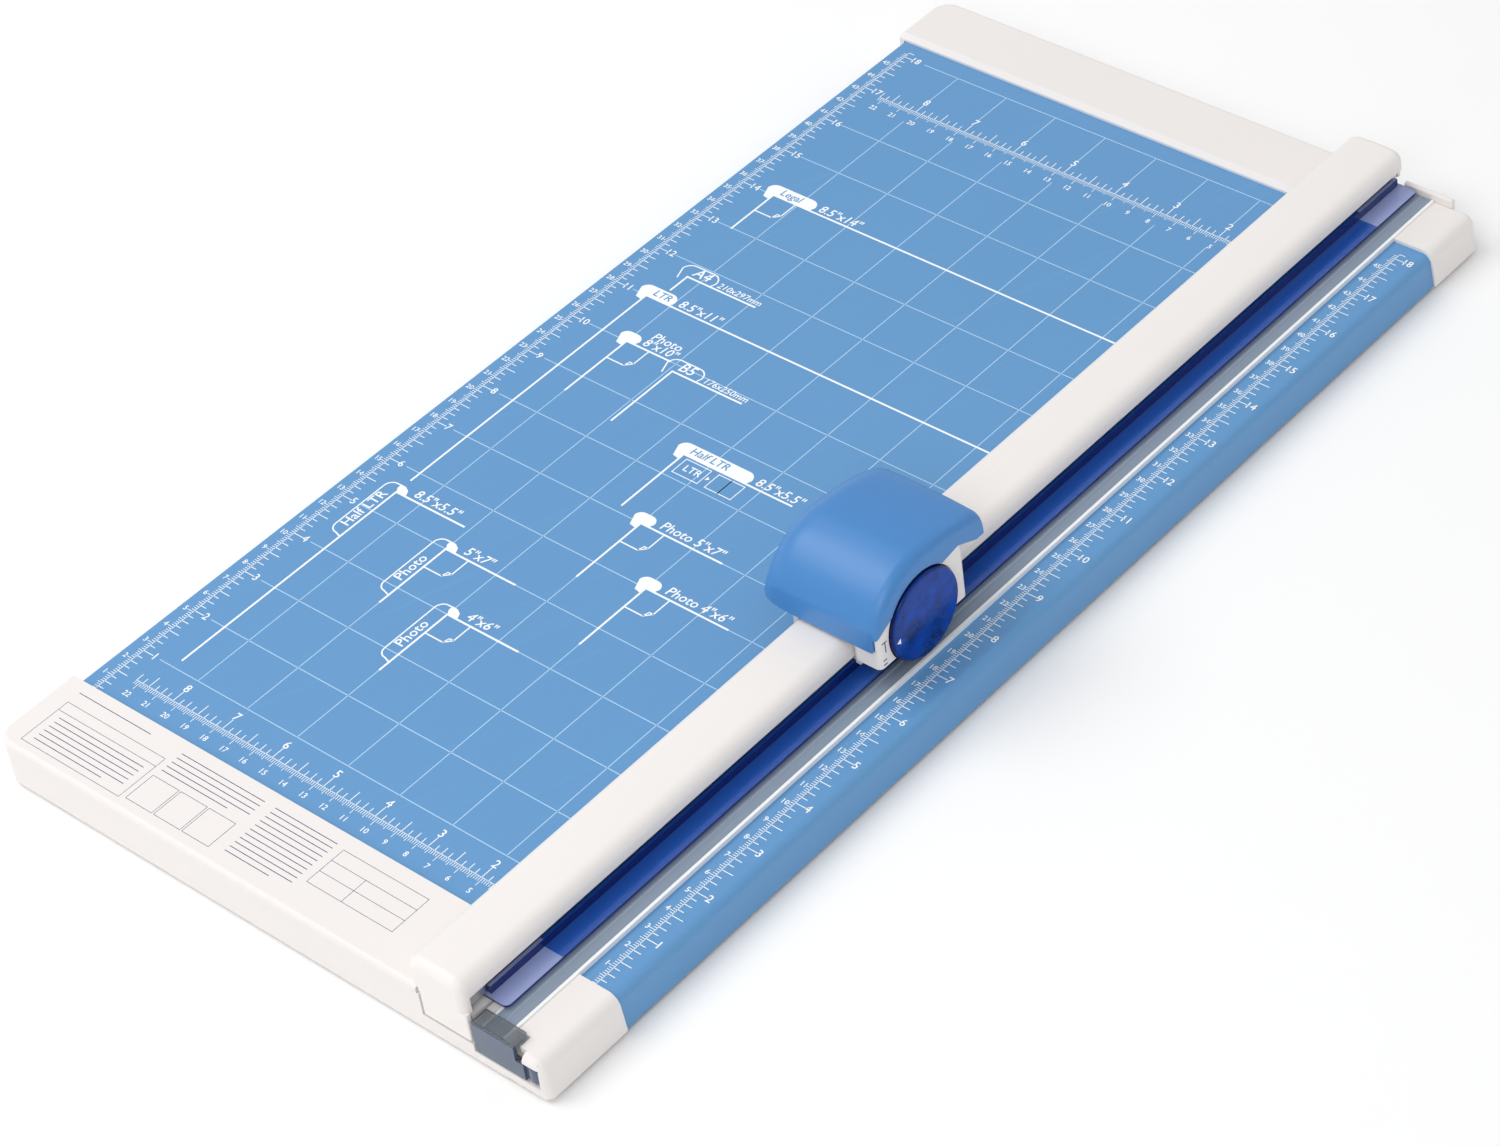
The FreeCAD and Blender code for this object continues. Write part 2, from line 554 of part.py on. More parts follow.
def rail_outline(inset, bottom):
    """Rail section inside the given inset, with a slightly crowned top."""
    left = RAIL_LEFT + inset
    right = RAIL_RIGHT - inset
    top = RAIL_TOP - inset
    middle = (left + right) / 2
    shoulder = top - RAIL_CROWN
    crown = Part.Arc(Vector(left, 0, shoulder), Vector(middle, 0, top), Vector(right, 0, shoulder)).toShape()
    rest = Part.makePolygon([Vector(right, 0, shoulder), Vector(right, 0, bottom), Vector(left, 0, bottom),
                             Vector(left, 0, shoulder)])
    return Part.Wire([crown] + rest.Edges)


def rail_solid(inset, bottom, y0, y1):
    face = Part.Face(rail_outline(inset, bottom))
    face.translate(Vector(0, y0, 0))
    solid = face.extrude(Vector(0, y1 - y0, 0))
    shoulder = RAIL_TOP - inset - RAIL_CROWN
    return fillet(solid, RAIL_EDGE_R - inset, lambda c, d: along(d, ALONG_Y) and near(c.z, shoulder))


def rail_cover():
    """White cover: long shell, front apron in front of the guide block, closed rear end."""
    low = GUARD_TOP + 0.2
    outer = rail_solid(0, low, RAIL_FRONT, RAIL_REAR)
    outer = fillet(outer, 3.5, lambda c, d: (near(c.y, RAIL_FRONT) or near(c.y, RAIL_REAR))
                   and abs(d.y) < 0.1 and c.z > low + 1)
    inner = rail_solid(RAIL_WALL, low - 2, RAIL_FRONT + RAIL_WALL, RAIL_REAR - RAIL_WALL)
    cover = outer.cut(inner)
    cover = cover.cut(block(RAIL_RIGHT - RAIL_WALL - 0.1, RAIL_RIGHT + 1, RAIL_FRONT + RAIL_WALL + 1.5,
                            RAIL_REAR + 1, low - 3, SLOT_TOP))
    cover = cover.cut(block(RAIL_LEFT - 1, RAIL_RIGHT + 1, RAIL_REAR - COVER_WALL - 1, RAIL_REAR + 1,
                            low - 3, RAIL_SILL))
    apron = block(BLOCK_LEFT, BLOCK_RIGHT, RAIL_FRONT, RAIL_FRONT + RAIL_WALL, BLOCK_BOTTOM, low + 1)
    apron = fillet(apron, 0.8, lambda c, d: along(d, UP) and near(c.y, RAIL_FRONT))
    for y0, y1 in ((RAIL_FRONT - 1, 1.0), (Y_STEP - 1, RAIL_REAR + 1)):
        cover = cover.cut(block(RAIL_LEFT - 1, BLOCK_LEFT, y0, y1, low - 1, RAIL_SILL))
    return cover.fuse(apron).removeSplitter()


def beam_screw_places():
    return [(x, y) for y in (BLOCK_FRONT + 4, BLOCK_REAR - 4) for x in (BLOCK_LEFT + 4, BLOCK_RIGHT - 7)]


def rail_beam():
    """Aluminium beam with the side groove that guides the carriage tongue."""
    low = GUARD_TOP
    beam = block(BEAM_LEFT, BEAM_RIGHT, BLOCK_FRONT, BLOCK_REAR, low, BEAM_TOP)
    groove = block(BEAM_RIGHT - GROOVE_DEPTH, BEAM_RIGHT + 1, BLOCK_FRONT - 1, BLOCK_REAR + 1, GROOVE_LOW,
                   GROOVE_HIGH)
    core = block(BEAM_LEFT + 2.2, BEAM_RIGHT - GROOVE_DEPTH - 1.6, BLOCK_FRONT + BLOCK_LENGTH,
                 BLOCK_REAR - BLOCK_LENGTH, low + 2.0, BEAM_TOP - 2.0)
    beam = beam.cut(groove).cut(core)
    for y in (POST_FRONT, POST_REAR):
        beam = beam.cut(rod_z(POST_HEAD_R + 0.6, POST_X, y, low - 1, GROOVE_LOW + 0.2))
    for x, y in beam_screw_places():
        beam = beam.cut(rod_z(SCREW_R, x, y, low - 1, low + 3.4))
    return beam


def paper_guard():
    """Clear blue strip that holds the paper down beside the blade."""
    y0 = Y_FRONT + GUARD_END_GAP
    y1 = BLOCK_REAR - 0.4
    strip = block(GUARD_LEFT, GUARD_RIGHT, y0, y1, RAIL_LIFT, GUARD_TOP)
    strip = fillet(strip, 2.2, lambda c, d: along(d, UP) and near(c.x, GUARD_RIGHT))
    rib = block(BEAM_RIGHT + 0.4, RAIL_RIGHT - 0.6, y0 + 1.5, y1 - 1.5, GUARD_TOP - 0.5,
                GUARD_TOP + GUARD_RIB_HEIGHT)
    guard = strip.fuse(rib)
    room = POST_HEAD_R + 0.6
    for y in (POST_FRONT, POST_REAR):
        guard = guard.cut(rod_z(room, POST_X, y, 0, GUARD_TOP + 0.1))
        guard = guard.cut(block(GUARD_LEFT - 1, POST_X, y - room, y + room, 0, GUARD_TOP + 0.1))
    for x, y in beam_screw_places():
        guard = guard.cut(rod_z(SCREW_R + 0.2, x, y, 0, GUARD_TOP + 0.1))
    return guard.removeSplitter()


def grip_strip():
    """Rubber strip beside the guard, under the beam."""
    y0 = 2.0
    y1 = Y_STEP - 2.0
    strip = block(BEAM_LEFT + 0.5, GUARD_LEFT - 0.2, y0, y1, RAIL_LIFT, GUARD_TOP)
    for step in range(1, 4):
        x = BEAM_LEFT + 0.5 + (GUARD_LEFT - 0.7 - BEAM_LEFT) * step / 4
        strip = strip.cut(block(x - 0.4, x + 0.4, y0 - 1, y1 + 1, RAIL_LIFT - 1, RAIL_LIFT + 0.3))
    return strip


def guide_block(y0, y1, post_y):
    """Nylon block under one rail end; its bush slides on the shoulder bolt."""
    body = block(BLOCK_LEFT + 0.2, BLOCK_RIGHT - 0.2, y0 + 0.2, y1, BLOCK_BOTTOM, RAIL_LIFT)
    body = body.cut(rod_z(POST_R + FIT + BUSH_WALL, POST_X, post_y, BLOCK_BOTTOM - 1, RAIL_LIFT + 1))
    body = body.cut(rod_z(5.4, POST_X, post_y, BLOCK_BOTTOM - 1, -4.6))
    body = body.cut(rod_z(POST_HEAD_R + 0.6, POST_X, post_y, -1.4, RAIL_LIFT + 1))
    for x, y in beam_screw_places():
        body = body.cut(rod_z(SCREW_R + 0.2, x, y, BLOCK_BOTTOM - 1, RAIL_LIFT + 1))
        body = body.cut(rod_z(SCREW_HEAD_R + 0.3, x, y, BLOCK_BOTTOM - 1, BLOCK_BOTTOM + 4.0))
    return body


def front_guide_block():
    return guide_block(BLOCK_FRONT, BLOCK_FRONT + BLOCK_LENGTH, POST_FRONT)


def rear_guide_block():
    return guide_block(BLOCK_REAR - BLOCK_LENGTH, BLOCK_REAR - 0.2, POST_REAR)


def guide_bushes():
    bushes = []
    for y in (POST_FRONT, POST_REAR):
        bush = rod_z(POST_R + FIT + BUSH_WALL, POST_X, y, -4.6, -1.4)
        bushes.append(bush.cut(rod_z(POST_R + FIT, POST_X, y, -5, 0)))
    return group(bushes)


def guide_bolts():
    """Shoulder bolts standing in the base; their heads stop the rail at the top of its travel."""
    bolts = []
    for y in (POST_FRONT, POST_REAR):
        bolt = rod_z(POST_R, POST_X, y, Z_SHELL + 1.6, -1.3)
        head = rod_z(POST_HEAD_R, POST_X, y, -1.35, -1.35 + POST_HEAD_H)
        head = head.cut(rod_z(1.6, POST_X, y, -0.6, 2))
        washer = rod_z(POST_R + 2.4, POST_X, y, Z_SHELL + 0.5, Z_SHELL + 1.6)
        bolts.append(bolt.fuse([head, washer]))
    return group(bolts)


def lift_spring(post_y):
    seat = FLOOR_TOP + 1.4
    return coil(POST_X, post_y, seat, -4.6, 4.1, 0.5, 5)


def beam_screws():
    places = beam_screw_places()
    return group([screw(x, y, BLOCK_BOTTOM + 4.0, GUARD_TOP + 3.2 - BLOCK_BOTTOM - 4.0, head_up=False)
                  for x, y in places])


# Carriage

def carriage_frame():
    """Saddle over the rail; its tongue runs in the rail's side slot."""
    left = RAIL_LEFT - SADDLE_GAP
    right = RAIL_RIGHT + SADDLE_GAP
    top = block(left - SADDLE_WALL, right + SADDLE_WALL, SADDLE_FRONT, SADDLE_REAR, SADDLE_TOP,
                SADDLE_TOP + SADDLE_WALL)
    left_leg = block(left - SADDLE_WALL, left, SADDLE_FRONT, SADDLE_REAR, 5.6, SADDLE_TOP + 0.1)
    tongue_low = (GROOVE_LOW + GROOVE_HIGH - TONGUE_THICK) / 2
    tongue_high = tongue_low + TONGUE_THICK
    right_leg = block(right, right + SADDLE_WALL, SADDLE_FRONT, SADDLE_REAR, tongue_low, SADDLE_TOP + 0.1)
    tongue = block(BEAM_RIGHT - GROOVE_DEPTH + 1.2, right + 0.1, SADDLE_FRONT + 1, SADDLE_REAR - 1,
                   tongue_low, tongue_high)
    frame = top.fuse([left_leg, right_leg, tongue])
    frame = fillet(frame, 1.4, lambda c, d: along(d, ALONG_Y) and near(c.z, SADDLE_TOP + SADDLE_WALL))
    for y in head_pin_rows():
        frame = frame.fuse(rod_z(4.0, HEAD_PIN_X, y, SADDLE_TOP + 1, SADDLE_TOP + SADDLE_WALL + 2.6))
        frame = frame.cut(rod_z(HEAD_PIN_R, HEAD_PIN_X, y, SADDLE_TOP + 0.4, SADDLE_TOP + 8))
    for y in pad_rows():
        frame = frame.cut(block(HEAD_PIN_X - 4.1, HEAD_PIN_X + 4.1, y - 4.1, y + 4.1, SADDLE_TOP - 1,
                                SADDLE_TOP + 0.8))
    return frame.removeSplitter()


def head_pin_rows():
    return (AXLE_Y - HEAD_PIN_SPREAD / 2, AXLE_Y + HEAD_PIN_SPREAD / 2)


def pad_rows():
    return (AXLE_Y - 4.6, AXLE_Y + 4.6)


def slide_pads():
    """Low-friction pads let into the roof of the saddle."""
    half = 4.0
    pads = []
    for y in pad_rows():
        pads.append(block(HEAD_PIN_X - half, HEAD_PIN_X + half, y - half, y + half, RAIL_TOP + 0.08,
                          SADDLE_TOP + 0.8))
    return group(pads)


def head_pins():
    low = SADDLE_TOP + 0.4
    return group([rod_z(HEAD_PIN_R, HEAD_PIN_X, y, low, DECK_TOP + 2.2) for y in head_pin_rows()])


def pin_clips():
    clips = []
    for y in head_pin_rows():
        clip = rod_z(HEAD_PIN_R + 1.8, HEAD_PIN_X, y, DECK_TOP + 0.02, DECK_TOP + 0.8)
        clip = clip.cut(rod_z(HEAD_PIN_R, HEAD_PIN_X, y, DECK_TOP - 1, DECK_TOP + 2))
        mouth = block(HEAD_PIN_X - 1.2, HEAD_PIN_X + 1.2, y, y + 6, DECK_TOP - 1, DECK_TOP + 2)
        clips.append(clip.cut(mouth))
    return group(clips)


def head_spring(y):
    return coil(HEAD_PIN_X, y, SADDLE_TOP + SADDLE_WALL + 2.6, DECK_Z - 2.2, 2.9, 0.35, 4)


# Cutting head

def handle_profile(inset, foot):
    """Side view of the handle: blunt nose in front, long crown, lip at the rear."""
    front = AXLE_Y - 26.3 + inset
    nose = (AXLE_Y - 24.2 + inset, 31.5 - inset * 0.3)
    brow = (AXLE_Y - 14.0 + inset * 0.6, 42.6 - inset)
    crown = (AXLE_Y + 5.0, 47.4 - inset)
    heel = (AXLE_Y + 35.0 - inset, 41.2 - inset)
    back = AXLE_Y + 36.2 - inset
    first = Part.Arc(Vector(0, front, 19.0), Vector(0, *nose), Vector(0, *brow)).toShape()
    second = Part.Arc(Vector(0, *brow), Vector(0, *crown), Vector(0, *heel)).toShape()
    rest = Part.makePolygon([Vector(0, *heel), Vector(0, back, 38.5 - inset), Vector(0, back, foot),
                             Vector(0, front, foot), Vector(0, front, 19.0)])
    return Part.Wire([first, second] + rest.Edges)


def handle_section(inset, foot):
    """Front view of the handle: large left shoulder, tight right shoulder."""
    left = HANDLE_LEFT + inset
    right = HANDLE_RIGHT - inset
    top = 47.8 - inset
    big = 15.0 - inset
    small = 4.0 - inset * 0.8
    lean = math.sqrt(0.5)
    first = Part.Arc(Vector(left, 0, top - 1.5 - big),
                     Vector(left + big * (1 - lean), 0, top - 1.5 - big * (1 - lean)),
                     Vector(left + big, 0, top - 1.5)).toShape()
    middle = (left + big + right - small) / 2
    crown = Part.Arc(Vector(left + big, 0, top - 1.5), Vector(middle, 0, top),
                     Vector(right - small, 0, top - 0.9)).toShape()
    second = Part.Arc(Vector(right - small, 0, top - 0.9),
                      Vector(right - small * (1 - lean), 0, top - 0.9 - small * (1 - lean)),
                      Vector(right, 0, top - 0.9 - small)).toShape()
    rest = Part.makePolygon([Vector(right, 0, top - 0.9 - small), Vector(right, 0, foot),
                             Vector(left, 0, foot), Vector(left, 0, top - 1.5 - big)])
    return Part.Wire([first, crown, second] + rest.Edges)


def handle_solid(inset, foot):
    side = Part.Face(handle_profile(inset, foot))
    side.translate(Vector(HANDLE_LEFT - 1, 0, 0))
    side = side.extrude(Vector(HANDLE_RIGHT - HANDLE_LEFT + 2, 0, 0))
    front = Part.Face(handle_section(inset, foot))
    front.translate(Vector(0, AXLE_Y - 40, 0))
    front = front.extrude(Vector(0, 90, 0))
    plan = block(HANDLE_LEFT + inset, HANDLE_RIGHT - inset, AXLE_Y - 26.6 + inset, AXLE_Y + 36.2 - inset,
                 foot, 60)
    plan = fillet(plan, 5.0 - inset, lambda c, d: along(d, UP))
    return side.common(front).common(plan)


def side_opening():
    """Room under the arched lower edge of the handle's right side, from (y, z)."""
    start = Vector(0, AXLE_Y - 28.5, 22.5)
    rise = Vector(0, AXLE_Y - 17.5, 30.2)
    arch = Part.Arc(start, Vector(0, AXLE_Y - 23.6, 25.6), rise).toShape()
    top = Part.Arc(rise, Vector(0, AXLE_Y, AXLE_Z + COVER_R + 0.7), Vector(0, AXLE_Y + 20.5, 36.2)).toShape()
    tail = Part.makePolygon([Vector(0, AXLE_Y + 20.5, 36.2), Vector(0, AXLE_Y + 29, 31.8),
                             Vector(0, AXLE_Y + 40, 31.4), Vector(0, AXLE_Y + 40, 0),
                             Vector(0, AXLE_Y - 28.5, 0), start])
    return Part.Face(Part.Wire([arch, top] + tail.Edges))


def handle_shell():
    """Blue hand grip, open below and under its rear lip."""
    shell = handle_solid(0, 10).cut(handle_solid(HANDLE_WALL, 9))
    shell = shell.cut(block(HANDLE_LEFT - 1, HANDLE_RIGHT + 1, AXLE_Y - 40, AXLE_Y + 50, 0, HANDLE_LOW))
    opening = side_opening()
    opening.translate(Vector(HANDLE_RIGHT - 6.5, 0, 0))
    shell = shell.cut(opening.extrude(Vector(10, 0, 0)))
    rear_room = prism_x([(AXLE_Y + 25, 0), (AXLE_Y + 25, 22), (AXLE_Y + 31, 31.4), (AXLE_Y + 50, 31.4),
                         (AXLE_Y + 50, 0)], HANDLE_LEFT - 1, HANDLE_RIGHT + 1)
    shell = shell.cut(rear_room)
    inside = handle_solid(HANDLE_WALL - 0.4, 9)
    for x, y in handle_screw_places():
        boss = rod_z(3.4, x, y, DECK_TOP, 60).common(inside)
        shell = shell.fuse(boss).cut(rod_z(SCREW_R, x, y, DECK_TOP - 1, DECK_TOP + 7))
    return shell.removeSplitter()


def handle_screw_places():
    return [(HANDLE_LEFT + 12, AXLE_Y), (-11.0, AXLE_Y - 12), (-11.0, AXLE_Y + 14)]


def cutter_housing():
    """White housing: deck under the grip, and the box that carries the blade cartridge."""
    deck = block(HANDLE_LEFT + 7, HOUSING_FACE - 1.4, HOUSING_FRONT + 1, HOUSING_REAR - 1, DECK_Z, DECK_TOP)
    shell = block(INNER_WALL_X, HOUSING_FACE, HOUSING_FRONT, HOUSING_REAR, HOUSING_FOOT, DECK_TOP + 4)
    shell = fillet(shell, 2.2, lambda c, d: along(d, UP) and near(c.x, HOUSING_FACE))
    room = block(INNER_WALL_X + HOUSING_WALL, HOUSING_FACE - 3.2, HOUSING_FRONT + HOUSING_WALL,
                 HOUSING_REAR - HOUSING_WALL, HOUSING_FOOT - 1, DECK_TOP + 5)
    shell = shell.cut(room)
    shell = shell.cut(block(INNER_WALL_X - 1, HOUSING_FACE - 3.2, HOUSING_FRONT - 1, HOUSING_REAR + 1,
                            DECK_TOP, DECK_TOP + 5))
    housing = shell.fuse(deck)
    band = side_opening()
    band.translate(Vector(HOUSING_FACE - 1.5, 0, -0.4))
    inside = handle_solid(HANDLE_WALL + JOINT_GAP, 9)
    below = block(HANDLE_LEFT, HOUSING_FACE - 0.01, AXLE_Y - 40, AXLE_Y + 40, 0, HANDLE_LOW - JOINT_GAP)
    housing = housing.common(inside.fuse([below, band.extrude(Vector(6, 0, 0))]))
    housing = housing.cut(rod_x(COVER_R + LUG_REACH + 0.6, -1.2, HOUSING_FACE - 3.2))
    housing = housing.cut(rod_x(COVER_R + CARTRIDGE_GAP, -0.5, HOUSING_FACE + 1))
    housing = housing.cut(rod_x(AXLE_SEAT_R, INNER_WALL_X - 1, INNER_WALL_X + 3))
    for turn in (60, 240):
        housing = housing.cut(lug_block(turn, 0.5, HOUSING_FACE + 1, LUG_REACH + 0.3, 15))
    for y in head_pin_rows():
        housing = housing.fuse(rod_z(HEAD_BOSS_R, HEAD_PIN_X, y, DECK_Z - 2.2, DECK_TOP))
        housing = housing.cut(rod_z(HEAD_PIN_R + FIT, HEAD_PIN_X, y, DECK_Z - 4, DECK_TOP + 1))
    for x, y in handle_screw_places():
        housing = housing.cut(rod_z(SCREW_R + 0.2, x, y, DECK_Z - 1, DECK_TOP + 1))
    return housing.removeSplitter()


def lug_block(turn, x0, x1, reach, spread):
    """Sector-shaped block outside the cartridge rim, turned about the axle."""
    half = math.radians(spread / 2)
    outer = COVER_R + reach
    width = 2 * outer * math.sin(half)
    lug = block(x0, x1, AXLE_Y + COVER_R - 2.0, AXLE_Y + outer, AXLE_Z - width / 2, AXLE_Z + width / 2)
    lug.rotate(Vector(0, AXLE_Y, AXLE_Z), ALONG_X, turn)
    return lug


def axle_seat():
    """Bronze seat for the axle end in the inner wall."""
    seat = rod_x(AXLE_SEAT_R, INNER_WALL_X, INNER_WALL_X + HOUSING_WALL)
    return seat.cut(rod_x(AXLE_R + FIT, INNER_WALL_X - 1, INNER_WALL_X + 3))


def detent_spring():
    """Leaf spring on the front wall that clicks against the cartridge lug."""
    y = HOUSING_FRONT + HOUSING_WALL
    leaf = block(-3.4, -1.6, y, y + 0.4, HOUSING_FOOT + 4, DECK_Z)
    bend = prism_x([(y, HOUSING_FOOT + 4), (y + 0.4, HOUSING_FOOT + 4), (y + 1.8, HOUSING_FOOT + 1.4),
                    (y + 1.4, HOUSING_FOOT + 1.4)], -3.4, -1.6)
    return leaf.fuse(bend).removeSplitter()


def handle_screws():
    return group([screw(x, y, DECK_Z, DECK_THICK + 6.5, head_up=False) for x, y in handle_screw_places()])


# Cartridge and blade

def cartridge_cover():
    """Clear blue cover with two bayonet lugs behind the housing face."""
    cover = rod_x(COVER_R, COVER_BACK_X, COVER_FACE_X)
    cover = fillet(cover, 1.3, lambda c, d: near(c.x, COVER_FACE_X))
    cover = cover.cut(rod_x(COVER_R - CARTRIDGE_WALL, COVER_BACK_X - 1, COVER_FACE_X - CARTRIDGE_WALL))
    for turn in (0, 180):
        lug = lug_block(turn, COVER_BACK_X, HOUSING_FACE - 3.6, LUG_REACH, 11)
        cover = cover.fuse(lug.cut(rod_x(COVER_R - CARTRIDGE_WALL, -1, 5)))
    return cover.cut(rod_x(AXLE_R, COVER_BACK_X - 1, COVER_FACE_X - 0.8)).removeSplitter()


def cartridge_hub():
    """Spoked hub inside the cover; it holds the axle."""
    back = COVER_BACK_X + 0.2
    face = COVER_FACE_X - CARTRIDGE_WALL
    hub = rod_x(5.2, back, face)
    for turn in range(0, 360, 360 // SPOKES):
        spoke = block(back + 1.2, face, AXLE_Y, AXLE_Y + COVER_R - CARTRIDGE_WALL - 0.1, AXLE_Z - 0.6,
                      AXLE_Z + 0.6)
        spoke.rotate(Vector(0, AXLE_Y, AXLE_Z), ALONG_X, turn + 30)
        hub = hub.fuse(spoke)
    return hub.cut(rod_x(AXLE_R, back - 1, face + 1)).removeSplitter()


def blade_axle():
    axle = rod_x(AXLE_R, INNER_WALL_X + 0.4, COVER_FACE_X - 0.8)
    return axle.cut(rod_x(AXLE_R + 1, -3.4, -2.7).cut(rod_x(AXLE_R - 0.4, -4, -2)))


def axle_clip():
    clip = rod_x(AXLE_R + 1.6, -3.3, -2.8).cut(rod_x(AXLE_R - 0.4, -4, -2))
    return clip.cut(block(-4, -2, AXLE_Y - 1.3, AXLE_Y + 1.3, AXLE_Z, AXLE_Z + 6))


def cutter_blade():
    """Round blade, ground to an edge on both sides."""
    half = BLADE_THICK / 2
    edge = 0.03
    rim_r = BLADE_R - 0.05
    ground_r = BLADE_R - 1.2
    core = rod_x(ground_r, -half, half)
    left = Part.makeCone(rim_r, ground_r, half - edge, Vector(-edge, AXLE_Y, AXLE_Z), -ALONG_X)
    right = Part.makeCone(rim_r, ground_r, half - edge, Vector(edge, AXLE_Y, AXLE_Z), ALONG_X)
    rim = rod_x(rim_r, -edge, edge)
    blade = core.fuse([left, right, rim])
    return blade.cut(rod_x(BUSH_R, -2, 2)).removeSplitter()


def blade_bush():
    bush = rod_x(BUSH_R, -1.9, 0.5).fuse(rod_x(7.0, -1.9, -BLADE_THICK / 2))
    return bush.cut(rod_x(AXLE_R + FIT, -3, 3))


def blade_washer():
    washer = rod_x(7.0, BLADE_THICK / 2, 0.6)
    return washer.cut(rod_x(BUSH_R, -1, 3))


PIECES = {
    "base_tray": base_tray,
    "stiffening_bars": stiffening_bars,
    "board_plate": board_plate,
    "front_cover": front_cover,
    "rear_cover": rear_cover,
    "side_ruler_plate": side_ruler_plate,
    "front_end_cap": front_end_cap,
    "rear_end_cap": rear_end_cap,
    "mat_channel": mat_channel,
    "cutting_mat": cutting_mat,
    "mat_gate": mat_gate,
    "gate_pin": gate_pin,
    "rubber_feet": rubber_feet,
    "foot_screws": foot_screws,
    "cover_screws": cover_screws,
    "rail_cover": rail_cover,
    "rail_beam": rail_beam,
    "paper_guard": paper_guard,
    "grip_strip": grip_strip,
    "front_guide_block": front_guide_block,
    "rear_guide_block": rear_guide_block,
    "guide_bushes": guide_bushes,
    "guide_bolts": guide_bolts,
    "front_lift_spring": lambda: lift_spring(POST_FRONT),
    "rear_lift_spring": lambda: lift_spring(POST_REAR),
    "beam_screws": beam_screws,
    "carriage_frame": carriage_frame,
    "slide_pads": slide_pads,
    "head_pins": head_pins,
    "pin_clips": pin_clips,
    "front_head_spring": lambda: head_spring(head_pin_rows()[0]),
    "rear_head_spring": lambda: head_spring(head_pin_rows()[1]),
    "handle_shell": handle_shell,
    "cutter_housing": cutter_housing,
    "axle_seat": axle_seat,
    "detent_spring": detent_spring,
    "handle_screws": handle_screws,
    "cartridge_cover": cartridge_cover,
    "cartridge_hub": cartridge_hub,
    "blade_axle": blade_axle,
    "axle_clip": axle_clip,
    "cutter_blade": cutter_blade,
    "blade_bush": blade_bush,
    "blade_washer": blade_washer,
}

os.makedirs("parts", exist_ok=True)
for piece_name, make_piece in PIECES.items():
    piece = make_piece()
    print(f"{piece_name:20s} solids {len(piece.Solids)} valid {piece.isValid()} volume {piece.Volume:10.1f}")
    save(piece_name, piece)
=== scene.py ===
"""Looks of the rotary paper trimmer: finishes, printed scales and size marks, grip, light and camera."""
import math

import bmesh
import bpy
from mathutils import Matrix, Vector


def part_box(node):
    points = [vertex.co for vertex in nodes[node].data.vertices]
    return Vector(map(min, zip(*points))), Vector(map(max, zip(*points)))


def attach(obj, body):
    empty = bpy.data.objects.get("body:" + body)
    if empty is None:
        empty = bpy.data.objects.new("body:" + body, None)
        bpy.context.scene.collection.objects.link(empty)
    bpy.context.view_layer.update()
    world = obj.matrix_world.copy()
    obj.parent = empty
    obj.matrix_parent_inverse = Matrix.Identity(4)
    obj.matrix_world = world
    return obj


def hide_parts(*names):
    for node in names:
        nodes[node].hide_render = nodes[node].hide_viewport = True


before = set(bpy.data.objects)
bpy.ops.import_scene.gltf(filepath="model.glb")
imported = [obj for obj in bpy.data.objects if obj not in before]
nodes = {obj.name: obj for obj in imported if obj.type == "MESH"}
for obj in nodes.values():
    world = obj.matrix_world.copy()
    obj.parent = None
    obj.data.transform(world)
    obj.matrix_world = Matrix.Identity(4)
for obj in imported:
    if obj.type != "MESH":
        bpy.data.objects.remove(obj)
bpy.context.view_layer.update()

# The working datum of the trimmer, read from the frame
INCH = 0.0254
MM = 0.001
blade_low, blade_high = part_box("cutter_blade")
strip_low, strip_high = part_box("side_ruler_plate")
CUT_X = (blade_low.x + blade_high.x) / 2
STOP_Y = strip_low.y
BOARD_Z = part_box("board_plate")[1].z
STRIP_Z = strip_high.z
RAIL_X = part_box("rail_cover")[0].x
AXLE = (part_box("blade_axle")[0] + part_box("blade_axle")[1]) / 2
INK = 0.03 * MM             # thickness of the printing
INK_SUNK = 0.01 * MM        # how far the printing is sunk into what it lies on


def on_board(left, behind):
    """A place on the board: inches left of the cut line and inches behind the paper stop."""
    return Vector((CUT_X - left * INCH, STOP_Y + behind * INCH))


# Finishes

MIX_FACTOR, MIX_A, MIX_B, MIX_RESULT = 0, 6, 7, 2    # sockets of a Mix node that mixes colours
SCUFF_FROM, SCUFF_FULL = 0.58, 0.72     # noise values at which a scuff starts and is full
CLEAR_IOR = 1.49
CLEAR_GRAIN_SCALE = 260.0
CLEAR_GRAIN_DEPTH = 0.002 * MM
CLEAR_DRIFT_SCALE = 110.0
EDGE_BELOW, FACE_ABOVE = 0.35, 0.9      # cosines between a normal and the broad face's direction
GRINDING_SCALE = 6000.0
GRINDING_DEPTH = 0.01 * MM


def socket_name(key):
    """Label of the socket that a key in lower case with underscores stands for."""
    return key.replace("_", " ").title().replace("Ior", "IOR")


def add(tree, kind, **values):
    """Add a node; values name its properties, or its inputs when written in lower case with underscores."""
    node = tree.nodes.new(kind)
    for key, value in values.items():
        if hasattr(node, key):
            setattr(node, key, value)
        else:
            node.inputs[socket_name(key)].default_value = value
    return node


def new_surface(name):
    """A material with one Principled surface, its tree and that surface."""
    material = bpy.data.materials.new(name)
    material.use_nodes = True
    tree = material.node_tree
    tree.nodes.clear()
    surface = add(tree, "ShaderNodeBsdfPrincipled")
    output = add(tree, "ShaderNodeOutputMaterial")
    tree.links.new(surface.outputs[0], output.inputs["Surface"])
    return material, tree, surface


def add_bump(tree, surface, height, depth):
    """Let a height stand out from the surface by a depth."""
    bump = add(tree, "ShaderNodeBump", strength=1.0)
    bump.inputs["Distance"].default_value = depth
    tree.links.new(height, bump.inputs["Height"])
    tree.links.new(bump.outputs[0], surface.inputs["Normal"])


